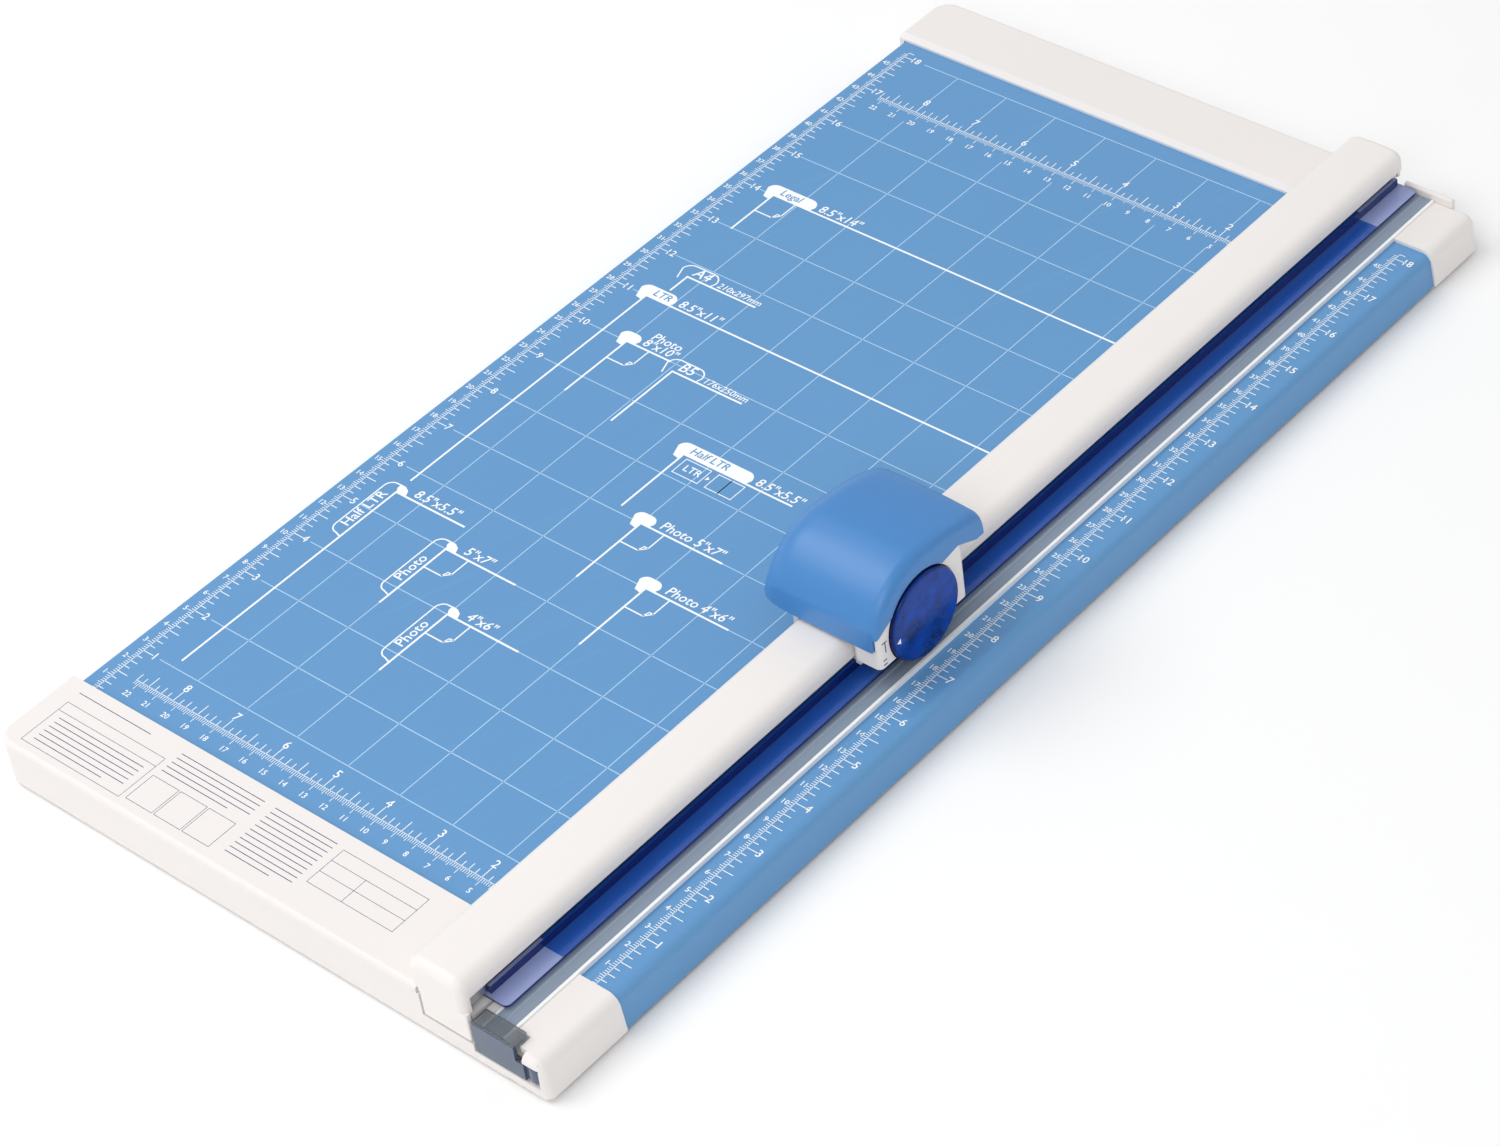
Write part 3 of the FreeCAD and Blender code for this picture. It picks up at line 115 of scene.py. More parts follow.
def shader_group(name, inputs, outputs):
    """An empty node group with float or colour sockets."""
    group = bpy.data.node_groups.new(name, "ShaderNodeTree")
    for label, kind, value in inputs:
        socket = group.interface.new_socket(name=label, in_out="INPUT", socket_type=kind)
        socket.default_value = value
    for label, kind in outputs:
        group.interface.new_socket(name=label, in_out="OUTPUT", socket_type=kind)
    return group, group.nodes.new("NodeGroupInput"), group.nodes.new("NodeGroupOutput")


FLOAT = "NodeSocketFloat"
INTEGER = "NodeSocketInt"
COLOUR = "NodeSocketColor"


def mottle_group():
    """Moulding or paint texture: a fine grain for the bump, and slow drifts of tone and gloss; turned up
    strong, the tone drift paints cloudy reflections.
    """
    group, source, result = shader_group(
        "mould_texture",
        [("Color", COLOUR, (1, 1, 1, 1)), ("Grain Scale", FLOAT, 2500.0), ("Drift Scale", FLOAT, 18.0),
         ("Drift", FLOAT, 0.04), ("Roughness", FLOAT, 0.4), ("Gloss Drift", FLOAT, 0.08)],
        [("Color", COLOUR), ("Roughness", FLOAT), ("Height", FLOAT)])
    links = group.links
    place = add(group, "ShaderNodeTexCoord")
    grain = add(group, "ShaderNodeTexNoise", detail=3.0, roughness=0.6)
    slow = add(group, "ShaderNodeTexNoise", detail=4.0, roughness=0.55)
    links.new(place.outputs["Object"], grain.inputs["Vector"])
    links.new(place.outputs["Object"], slow.inputs["Vector"])
    links.new(source.outputs["Grain Scale"], grain.inputs["Scale"])
    links.new(source.outputs["Drift Scale"], slow.inputs["Scale"])
    centred = add(group, "ShaderNodeMath", operation="SUBTRACT")
    centred.inputs[1].default_value = 0.5
    links.new(slow.outputs["Fac"], centred.inputs[0])
    tone = add(group, "ShaderNodeMath", operation="MULTIPLY_ADD")
    tone.inputs[2].default_value = 1.0
    links.new(centred.outputs[0], tone.inputs[0])
    links.new(source.outputs["Drift"], tone.inputs[1])
    tint = add(group, "ShaderNodeMix", data_type="RGBA", blend_type="MULTIPLY")
    tint.inputs[MIX_FACTOR].default_value = 1.0
    shade = add(group, "ShaderNodeCombineColor")
    for channel in range(3):
        links.new(tone.outputs[0], shade.inputs[channel])
    links.new(source.outputs["Color"], tint.inputs[MIX_A])
    links.new(shade.outputs[0], tint.inputs[MIX_B])
    gloss = add(group, "ShaderNodeMath", operation="MULTIPLY_ADD")
    links.new(centred.outputs[0], gloss.inputs[0])
    links.new(source.outputs["Gloss Drift"], gloss.inputs[1])
    links.new(source.outputs["Roughness"], gloss.inputs[2])
    links.new(tint.outputs[MIX_RESULT], result.inputs["Color"])
    links.new(gloss.outputs[0], result.inputs["Roughness"])
    links.new(grain.outputs["Fac"], result.inputs["Height"])
    return group


def scuff_group():
    """Hairline scuffs drawn out along one direction, as a mask."""
    group, source, result = shader_group(
        "hairline_scuffs",
        [("Across", FLOAT, 900.0), ("Along", FLOAT, 12.0), ("Amount", FLOAT, 0.5), ("Turn", FLOAT, 0.0)],
        [("Mask", FLOAT)])
    links = group.links
    place = add(group, "ShaderNodeTexCoord")
    turned = add(group, "ShaderNodeVectorRotate", rotation_type="Z_AXIS")
    links.new(place.outputs["Object"], turned.inputs["Vector"])
    links.new(source.outputs["Turn"], turned.inputs["Angle"])
    stretch = add(group, "ShaderNodeCombineXYZ")
    links.new(source.outputs["Across"], stretch.inputs[0])
    links.new(source.outputs["Along"], stretch.inputs[1])
    links.new(source.outputs["Across"], stretch.inputs[2])
    scaled = add(group, "ShaderNodeVectorMath", operation="MULTIPLY")
    links.new(turned.outputs[0], scaled.inputs[0])
    links.new(stretch.outputs[0], scaled.inputs[1])
    lines = add(group, "ShaderNodeTexNoise", scale=1.0, detail=2.0)
    links.new(scaled.outputs[0], lines.inputs["Vector"])
    sharp = add(group, "ShaderNodeMapRange")
    sharp.inputs["From Min"].default_value = SCUFF_FROM
    sharp.inputs["From Max"].default_value = SCUFF_FULL
    links.new(lines.outputs["Fac"], sharp.inputs["Value"])
    mask = add(group, "ShaderNodeMath", operation="MULTIPLY")
    links.new(sharp.outputs[0], mask.inputs[0])
    links.new(source.outputs["Amount"], mask.inputs[1])
    links.new(mask.outputs[0], result.inputs["Mask"])
    return group


MOTTLE = mottle_group()
SCUFF = scuff_group()


def zone(tree, axis, centre, reach):
    """Mask that is one within reach of a place along one of the piece's own axes."""
    place = add(tree, "ShaderNodeTexCoord")
    split = add(tree, "ShaderNodeSeparateXYZ")
    tree.links.new(place.outputs["Object"], split.inputs[0])
    inside = add(tree, "ShaderNodeMath", operation="COMPARE")
    tree.links.new(split.outputs[axis], inside.inputs[0])
    inside.inputs[1].default_value = centre
    inside.inputs[2].default_value = reach
    return inside.outputs[0]


def zoned_colour(tree, colour, band, target):
    """Feed target with colour, and with the band's own inside the band (axis, centre, reach, colour)."""
    axis, centre, reach, inner = band
    mix = add(tree, "ShaderNodeMix", data_type="RGBA")
    mix.inputs[MIX_A].default_value = (*colour, 1)
    mix.inputs[MIX_B].default_value = (*inner, 1)
    tree.links.new(zone(tree, axis, centre, reach), mix.inputs[MIX_FACTOR])
    tree.links.new(mix.outputs[MIX_RESULT], target)


def add_mottle(tree, surface, colour, band=None, **values):
    """The mould texture in a colour, feeding the surface's roughness."""
    mottle = add(tree, "ShaderNodeGroup", node_tree=MOTTLE, **values)
    mottle.inputs["Color"].default_value = (*colour, 1)
    if band:
        zoned_colour(tree, colour, band, mottle.inputs["Color"])
    tree.links.new(mottle.outputs["Roughness"], surface.inputs["Roughness"])
    return mottle


def finish(name, colour, roughness, grain_scale=2500.0, grain=0.02, drift=0.04, scuff=0.0, turn=0.0,
           across=900.0, band=None, **shader):
    """Grain (depth in mm), drifting tone and gloss, and optional scuffs; shader sets plain sockets."""
    material, tree, surface = new_surface(name)
    links = tree.links
    for key, value in shader.items():
        surface.inputs[socket_name(key)].default_value = value
    mottle = add_mottle(tree, surface, colour, band, grain_scale=grain_scale, drift=drift,
                        roughness=roughness)
    if not scuff:
        links.new(mottle.outputs["Color"], surface.inputs["Base Color"])
        add_bump(tree, surface, mottle.outputs["Height"], grain * MM)
        return material
    lines = add(tree, "ShaderNodeGroup", node_tree=SCUFF, amount=scuff, across=across, turn=turn)
    mix = add(tree, "ShaderNodeMix", data_type="RGBA")
    mix.inputs[MIX_B].default_value = (*(min(1, c * 1.3 + 0.02) for c in colour), 1)    # scuffs are paler
    links.new(lines.outputs["Mask"], mix.inputs[MIX_FACTOR])
    links.new(mottle.outputs["Color"], mix.inputs[MIX_A])
    links.new(mix.outputs[MIX_RESULT], surface.inputs["Base Color"])
    height = add(tree, "ShaderNodeMath", operation="SUBTRACT")
    links.new(mottle.outputs["Height"], height.inputs[0])
    links.new(lines.outputs["Mask"], height.inputs[1])
    add_bump(tree, surface, height.outputs[0], grain * MM)
    return material


def clear_plastic(name, face, edge, face_alpha, edge_alpha, roughness=0.08, facing=(0, 0, 1), band=None,
                  coat=0.3, drift=0.04):
    """Tinted clear plastic: see-through on its broad faces, deep and dark where an edge is looked into."""
    material, tree, surface = new_surface(name)
    links = tree.links
    surface.inputs["IOR"].default_value = CLEAR_IOR
    surface.inputs["Coat Weight"].default_value = coat
    surface.inputs["Specular IOR Level"].default_value = 0.25 + coat
    surface.inputs["Coat Roughness"].default_value = 0.04
    place = add(tree, "ShaderNodeTexCoord")
    along = add(tree, "ShaderNodeVectorMath", operation="DOT_PRODUCT")
    along.inputs[1].default_value = facing
    links.new(place.outputs["Normal"], along.inputs[0])
    size = add(tree, "ShaderNodeMath", operation="ABSOLUTE")
    links.new(along.outputs["Value"], size.inputs[0])
    mask = add(tree, "ShaderNodeMapRange")
    mask.inputs["From Min"].default_value = EDGE_BELOW
    mask.inputs["From Max"].default_value = FACE_ABOVE
    links.new(size.outputs[0], mask.inputs["Value"])
    mottle = add_mottle(tree, surface, face, band, grain_scale=CLEAR_GRAIN_SCALE, roughness=roughness,
                        gloss_drift=0.04, drift=drift, drift_scale=CLEAR_DRIFT_SCALE)
    mix = add(tree, "ShaderNodeMix", data_type="RGBA")
    mix.inputs[MIX_A].default_value = (*edge, 1)
    links.new(mask.outputs[0], mix.inputs[MIX_FACTOR])
    links.new(mottle.outputs["Color"], mix.inputs[MIX_B])
    links.new(mix.outputs[MIX_RESULT], surface.inputs["Base Color"])
    cover = add(tree, "ShaderNodeMapRange")
    cover.inputs["To Min"].default_value = edge_alpha
    cover.inputs["To Max"].default_value = face_alpha
    links.new(mask.outputs[0], cover.inputs["Value"])
    links.new(cover.outputs[0], surface.inputs["Alpha"])
    add_bump(tree, surface, mottle.outputs["Height"], CLEAR_GRAIN_DEPTH)
    return material


def turned_steel(name, colour, roughness):
    """Steel with fine rings about the blade axle, as left by grinding."""
    material, tree, surface = new_surface(name)
    links = tree.links
    surface.inputs["Metallic"].default_value = 1.0
    place = add(tree, "ShaderNodeTexCoord")
    centre = add(tree, "ShaderNodeVectorMath", operation="SUBTRACT")
    centre.inputs[1].default_value = AXLE
    flat = add(tree, "ShaderNodeVectorMath", operation="MULTIPLY")
    flat.inputs[1].default_value = (0, 1, 1)
    length = add(tree, "ShaderNodeVectorMath", operation="LENGTH")
    links.new(place.outputs["Object"], centre.inputs[0])
    links.new(centre.outputs[0], flat.inputs[0])
    links.new(flat.outputs[0], length.inputs[0])
    rings = add(tree, "ShaderNodeTexNoise", noise_dimensions="1D", scale=GRINDING_SCALE, detail=3.0)
    links.new(length.outputs["Value"], rings.inputs["W"])
    mottle = add_mottle(tree, surface, colour, roughness=roughness)
    links.new(mottle.outputs["Color"], surface.inputs["Base Color"])
    add_bump(tree, surface, rings.outputs["Fac"], GRINDING_DEPTH)
    return material


WHITE = finish("warm_white_shell", (0.85, 0.810, 0.785), 0.46, grain=0.012, drift=0.03,
               specular_ior_level=0.4)
RAIL_WHITE = finish("rail_white", (0.87, 0.83, 0.80), 0.42, grain=0.01, drift=0.03, scuff=0.05)
BOARD_BLUE = finish("painted_board_blue", (0.116, 0.310, 0.585), 0.44, grain_scale=1400.0, grain=0.015,
                    drift=0.03, scuff=0.10, turn=0.35, across=700.0)
GRIP_BLUE = finish("grip_blue", (0.060, 0.235, 0.560), 0.36, grain_scale=3200.0, grain=0.012, drift=0.05)
# Painted light on the paper guard: the plastic is one deep blue, and its ends are painted paler to stand in
# for the white sill showing through from below
GUARD_PALE_PAINTED_LIGHT = (0.42, 0.50, 0.86)
GUARD_DEEP = (0.022, 0.120, 0.560)
GUARD_PAINTED_LIGHT_END = 27 * MM          # length of the painted light at each end of the paper guard: a paler band that stands in for the white sill lit through it
guard_low, guard_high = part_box("paper_guard")
GUARD_BAND = (1, (guard_low.y + guard_high.y) / 2, (guard_high.y - guard_low.y) / 2 - GUARD_PAINTED_LIGHT_END, GUARD_DEEP)
CLEAR_BLUE = clear_plastic("clear_blue_guard", GUARD_PALE_PAINTED_LIGHT, (0.004, 0.014, 0.140), 0.66, 0.95, band=GUARD_BAND)
# Painted reflection on the cartridge cover: the strong tone drift lays cloudy lighter and darker patches that
# stand in for reflections inside the clear plastic
CLEAR_DISC_PAINTED_REFLECTIONS = clear_plastic("clear_blue_cartridge", (0.000, 0.045, 0.320), (0.000, 0.008, 0.090), 0.80, 0.95,
                           roughness=0.14, facing=(1, 0, 0), coat=0.0, drift=3.2)
HUB_BLUE = finish("hub_blue", (0.04, 0.30, 0.85), 0.2, grain=0.01, drift=0.05)
# Painted light on the mat gate: its broad faces are see-through smoke plastic, and their tint is also painted
# paler to make up for the shade the gate casts on the mat below
SMOKE_PAINTED_LIGHT = clear_plastic("smoke_gate", (0.170, 0.195, 0.220), (0.085, 0.125, 0.205), 0.42, 0.84)
SCORE_BAND = (0, CUT_X, 0.42 * MM, (0.50, 0.56, 0.66))       # pale line that the blade leaves along the mat
MAT = finish("cutting_mat_grey", (0.245, 0.310, 0.400), 0.45, grain=0.02, drift=0.06, scuff=0.35,
             across=1500.0, band=SCORE_BAND)
# Painted light: the mat channel is the shell's white plastic, painted brighter to cancel the shade that the
# guard and rail cast on it
CHANNEL_PAINTED_LIGHT_WHITE = finish("channel_white", (0.95, 0.96, 0.96), 0.35, grain=0.006, drift=0.03)
RUBBER = finish("black_rubber", (0.02, 0.02, 0.021), 0.75, grain_scale=900.0, grain=0.06, drift=0.2)
STEEL = finish("zinc_steel", (0.55, 0.56, 0.58), 0.32, grain=0.01, drift=0.1, scuff=0.3, metallic=1.0)
ALUMINIUM = finish("drawn_aluminium", (0.62, 0.63, 0.65), 0.36, grain=0.01, drift=0.06, scuff=0.4,
                   across=2500.0, metallic=1.0)
NYLON = finish("white_nylon", (0.72, 0.71, 0.68), 0.5, grain=0.02, drift=0.05, specular_ior_level=0.35)
BRONZE = finish("sintered_bronze", (0.42, 0.25, 0.10), 0.42, grain_scale=1800.0, grain=0.03, drift=0.25,
                metallic=1.0)
BLADE = turned_steel("ground_blade_steel", (0.62, 0.63, 0.65), 0.22)
INK_WHITE = finish("white_ink", (0.95, 0.97, 0.98), 0.5, grain=0.006, drift=0.05)
INK_PALE = finish("pale_blue_ink", (0.48, 0.69, 0.90), 0.5, grain=0.006, drift=0.05)
INK_DARK = finish("dark_blue_ink", (0.03, 0.05, 0.18), 0.5, grain=0.006, drift=0.1)

NODE_FINISH = {
    "base_tray": WHITE, "front_cover": WHITE, "rear_cover": WHITE,
    "front_end_cap": WHITE, "rear_end_cap": WHITE,
    "mat_channel": CHANNEL_PAINTED_LIGHT_WHITE, "rail_cover": RAIL_WHITE, "cutter_housing": WHITE,
    "board_plate": BOARD_BLUE, "side_ruler_plate": BOARD_BLUE, "handle_shell": GRIP_BLUE,
    "cutting_mat": MAT, "mat_gate": SMOKE_PAINTED_LIGHT, "paper_guard": CLEAR_BLUE,
    "cartridge_cover": CLEAR_DISC_PAINTED_REFLECTIONS, "cartridge_hub": HUB_BLUE,
    "rubber_feet": RUBBER, "grip_strip": RUBBER,
    "rail_beam": ALUMINIUM,
    "front_guide_block": NYLON, "rear_guide_block": NYLON, "slide_pads": NYLON, "carriage_frame": NYLON,
    "guide_bushes": BRONZE, "axle_seat": BRONZE, "blade_bush": BRONZE,
    "cutter_blade": BLADE, "blade_washer": BLADE,
}
for node_name, node_object in nodes.items():
    node_object.data.materials.clear()
    node_object.data.materials.append(NODE_FINISH.get(node_name, STEEL))


# Making meshes

def object_from(name, mesh, material):
    """An object of one material on the mesh, in the scene."""
    mesh.materials.clear()
    mesh.materials.append(material)
    made = bpy.data.objects.new(name, mesh)
    bpy.context.scene.collection.objects.link(made)
    return made


def mesh_data(name, mesh):
    """A closed bmesh as mesh data with its faces turned outwards; the bmesh is freed."""
    bmesh.ops.recalc_face_normals(mesh, faces=mesh.faces)
    data = bpy.data.meshes.new(name)
    mesh.to_mesh(data)
    mesh.free()
    return data


def prism_data(name, outlines, x0, x1):
    """Prisms along X from x0 to x1 over outlines of (y, z) places."""
    mesh = bmesh.new()
    for outline in outlines:
        low = [mesh.verts.new((x0, y, z)) for y, z in outline]
        high = [mesh.verts.new((x1, y, z)) for y, z in outline]
        mesh.faces.new(low)
        mesh.faces.new(high[::-1])
        for k in range(len(outline)):
            j = (k + 1) % len(outline)
            mesh.faces.new((low[k], high[k], high[j], low[j]))
    return mesh_data(name, mesh)


def arc(centre, radius, first, last, steps=6):
    """Places on an arc, angles in degrees."""
    places = []
    for step in range(steps + 1):
        angle = math.radians(first + (last - first) * step / steps)
        places.append((centre[0] + radius * math.cos(angle), centre[1] + radius * math.sin(angle)))
    return places


CAP_SHARE = 0.52             # height of a figure over the size of the type
BOLDNESS = 0.016             # how far a figure's outline is thickened, over its height
MITRE_LIMIT = 0.5


class Print:
    """Printing on a flat face: strokes, fills and figures, each a thin closed solid of ink."""

    def __init__(self, height, ink=INK):
        self.low = height - INK_SUNK
        self.high = height + ink
        self.mesh = bmesh.new()

    def fill(self, outline):
        """A filled shape inside an outline of places."""
        low = [self.mesh.verts.new((p[0], p[1], self.low)) for p in outline]
        high = [self.mesh.verts.new((p[0], p[1], self.high)) for p in outline]
        count = len(outline)
        self.mesh.faces.new(low[::-1])
        self.mesh.faces.new(high)
        for i in range(count):
            j = (i + 1) % count
            self.mesh.faces.new((low[i], low[j], high[j], high[i]))

    def stroke(self, places, width, closed=False):
        """A line of even width along the places, with mitred corners."""
        places = [Vector(p) for p in places]
        count = len(places)
        left = []
        right = []
        for i, place in enumerate(places):
            before = places[i - 1] if i or closed else None
            after = places[(i + 1) % count] if i + 1 < count or closed else None
            into = (place - before).normalized() if before is not None else (after - place).normalized()
            out = (after - place).normalized() if after is not None else into
            side = Vector((-into.y - out.y, into.x + out.x))
            side.normalize()
            reach = width / 2 / max(MITRE_LIMIT, side.dot(Vector((-into.y, into.x))))
            left.append(place + side * reach)
            right.append(place - side * reach)
        spans = count if closed else count - 1
        rings = []
        for i in range(count):
            corners = ((left[i], self.low), (right[i], self.low), (right[i], self.high), (left[i], self.high))
            rings.append([self.mesh.verts.new((p[0], p[1], z)) for p, z in corners])
        for i in range(spans):
            a, b = rings[i], rings[(i + 1) % count]
            for k in range(4):
                self.mesh.faces.new((a[k], a[(k + 1) % 4], b[(k + 1) % 4], b[k]))
        if not closed:
            self.mesh.faces.new(rings[0][::-1])
            self.mesh.faces.new(rings[-1])

    def figures(self, text, place, size, turn=0.0, slant=0.0, middle=True):
        """Raised figures of a given height; turn is the direction that they read along, in degrees."""
        curve = bpy.data.curves.new("figures", "FONT")
        curve.body = text
        curve.size = size / CAP_SHARE
        curve.offset = size * BOLDNESS
        curve.shear = slant
        curve.resolution_u = 2
        curve.extrude = (self.high - self.low) / 2
        curve.align_x = "CENTER" if middle else "LEFT"
        curve.align_y = "CENTER" if middle else "BOTTOM_BASELINE"
        holder = bpy.data.objects.new("figures", curve)
        bpy.context.scene.collection.objects.link(holder)
        graph = bpy.context.evaluated_depsgraph_get()
        flat = bpy.data.meshes.new_from_object(holder.evaluated_get(graph))
        flat.transform(Matrix.Translation((place[0], place[1], (self.high + self.low) / 2))
                       @ Matrix.Rotation(math.radians(turn), 4, "Z"))
        self.mesh.from_mesh(flat)
        bpy.data.objects.remove(holder)
        bpy.data.curves.remove(curve)
        bpy.data.meshes.remove(flat)

    def make(self, name, material, body):
        """Finish the printing as an object that rides a body."""
        made = object_from(name, mesh_data(name, self.mesh), material)
        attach(made, body)


# Ruler ticks by Geometry Nodes

def tick_tree():
    """Ticks along +Y from the origin, each growing towards +X, with longer ones at set steps."""
    tree = bpy.data.node_groups.new("ruler_ticks", "GeometryNodeTree")
    sockets = tree.interface
    sockets.new_socket(name="Geometry", in_out="INPUT", socket_type="NodeSocketGeometry")
    for label, kind, value in (("Count", INTEGER, 10), ("Pitch", FLOAT, 0.001), ("Width", FLOAT, 0.0002),
                               ("Short", FLOAT, 0.001), ("Middle", FLOAT, 0.002), ("Long", FLOAT, 0.003),
                               ("Middle Every", INTEGER, 5), ("Long Every", INTEGER, 10),
                               ("Thickness", FLOAT, 0.0001), ("First", INTEGER, 0)):
        sockets.new_socket(name=label, in_out="INPUT", socket_type=kind).default_value = value
    sockets.new_socket(name="Material", in_out="INPUT", socket_type="NodeSocketMaterial")
    sockets.new_socket(name="Geometry", in_out="OUTPUT", socket_type="NodeSocketGeometry")
    links = tree.links
    source = tree.nodes.new("NodeGroupInput")
    result = tree.nodes.new("NodeGroupOutput")
    step = add(tree, "ShaderNodeCombineXYZ")
    links.new(source.outputs["Pitch"], step.inputs["Y"])
    row = add(tree, "GeometryNodeMeshLine", mode="OFFSET")
    links.new(source.outputs["Count"], row.inputs["Count"])
    links.new(step.outputs[0], row.inputs["Offset"])
    index = add(tree, "GeometryNodeInputIndex")
    number = add(tree, "ShaderNodeMath", operation="ADD")
    links.new(index.outputs[0], number.inputs[0])
    links.new(source.outputs["First"], number.inputs[1])
    length = source.outputs["Short"]
    for every, reach in (("Middle Every", "Middle"), ("Long Every", "Long")):
        left_over = add(tree, "ShaderNodeMath", operation="MODULO")
        links.new(number.outputs[0], left_over.inputs[0])
        links.new(source.outputs[every], left_over.inputs[1])
        hit = add(tree, "FunctionNodeCompare", data_type="FLOAT", operation="LESS_THAN")
        hit.inputs["B"].default_value = 0.5     # a whole number is left over, so below a half is none
        links.new(left_over.outputs[0], hit.inputs["A"])
        pick = add(tree, "GeometryNodeSwitch", input_type="FLOAT")
        links.new(hit.outputs[0], pick.inputs["Switch"])
        links.new(length, pick.inputs["False"])
        links.new(source.outputs[reach], pick.inputs["True"])
        length = pick.outputs[0]
    size = add(tree, "ShaderNodeCombineXYZ")
    links.new(length, size.inputs["X"])
    links.new(source.outputs["Width"], size.inputs["Y"])
    links.new(source.outputs["Thickness"], size.inputs["Z"])
    brick = add(tree, "GeometryNodeMeshCube")
    brick.inputs["Size"].default_value = (1, 1, 1)
    shifted = add(tree, "GeometryNodeTransform")
    shifted.inputs["Translation"].default_value = (0.5, 0, 0)
    links.new(brick.outputs[0], shifted.inputs["Geometry"])
    spread = add(tree, "GeometryNodeInstanceOnPoints")
    links.new(row.outputs[0], spread.inputs["Points"])
    links.new(shifted.outputs[0], spread.inputs["Instance"])
    links.new(size.outputs[0], spread.inputs["Scale"])
    real = add(tree, "GeometryNodeRealizeInstances")
    links.new(spread.outputs[0], real.inputs[0])
    coat = add(tree, "GeometryNodeSetMaterial")
    links.new(real.outputs[0], coat.inputs["Geometry"])
    links.new(source.outputs["Material"], coat.inputs["Material"])
    links.new(coat.outputs[0], result.inputs[0])
    return tree


TICKS = tick_tree()


def ticks(target, place, turn, mirror, **values):
    """Add a row of ticks to a Print; turn is its turn from +Y in degrees, and mirror flips the side."""
    mesh = bpy.data.meshes.new("tick_row")
    holder = bpy.data.objects.new("tick_row", mesh)
    bpy.context.scene.collection.objects.link(holder)
    modifier = holder.modifiers.new("ticks", "NODES")
    modifier.node_group = TICKS
    values = {"thickness": target.high - target.low, "material": INK_WHITE, **values}
    for item in TICKS.interface.items_tree:
        key = item.name.replace(" ", "_").lower()
        if item.in_out == "INPUT" and key in values:
            modifier[item.identifier] = values[key]
    graph = bpy.context.evaluated_depsgraph_get()
    graph.update()
    flat = bpy.data.meshes.new_from_object(holder.evaluated_get(graph))
    flip = Matrix.Diagonal((-1 if mirror else 1, 1, 1, 1))
    flat.transform(Matrix.Translation((place[0], place[1], (target.high + target.low) / 2))
                   @ Matrix.Rotation(math.radians(turn), 4, "Z") @ flip)
    target.mesh.from_mesh(flat)
    bpy.data.objects.remove(holder)
    bpy.data.meshes.remove(mesh)
    bpy.data.meshes.remove(flat)


# Grip

def convex_reach(profile, centre, inset, drop, angle):
    """Distance from the centre to a convex profile moved inwards by inset, and by drop mostly on top."""
    out = Vector((math.cos(angle), math.sin(angle)))
    best = 1.0
    for a, b in zip(profile, profile[1:]):
        run = (b - a).normalized()
        normal = Vector((-run.y, run.x))
        if normal.dot(a - centre) < 0:
            normal = -normal
        facing = normal.dot(out)
        if facing > 0.001:
            fall = drop * (GRIP_FRONT_SHARE + (1 - GRIP_FRONT_SHARE) * max(0.0, normal.y))
            best = min(best, (normal.dot(a - centre) - inset - fall) / facing)
    return best


def smooth_path(places):
    """Catmull-Rom curve through the places."""
    steps = 8
    ends = [places[0] * 2 - places[1]] + places + [places[-1] * 2 - places[-2]]
    path = []
    for a, b, c, d in zip(ends, ends[1:], ends[2:], ends[3:]):
        for step in range(steps):
            t = step / steps
            path.append(0.5 * (2 * b + (c - a) * t + (2 * a - 5 * b + 4 * c - d) * t ** 2
                               + (3 * b - a - 3 * c + d) * t ** 3))
    return path + [places[-1]]


GRIP_LEFT_ROLL = 13 * MM
GRIP_RIGHT_ROLL = 4.5 * MM
GRIP_FRONT_SHARE = 0.28      # how much of the roll also rounds the front and rear
GRIP_WALL = 1.8 * MM
GRIP_CROWN = 1.0 * MM
GRIP_FOOT = 60 * MM          # how far the uncut form runs below the crown
GRIP_RING = 144              # places round each ring of the form
FRONT_PROFILE = [(0.9, 30), (0, 23), (2.6, 15.5), (7.0, 9.2), (13.6, 3.9), (21, 1.1), (29, 0), (42, 1.0),
                 (53, 3.2)]                         # mm behind the grip's front and below its crown
REAR_PROFILE = [(3.0, 5.6), (0.6, 8.0), (0, 11.5)]  # mm before the grip's rear and below its crown


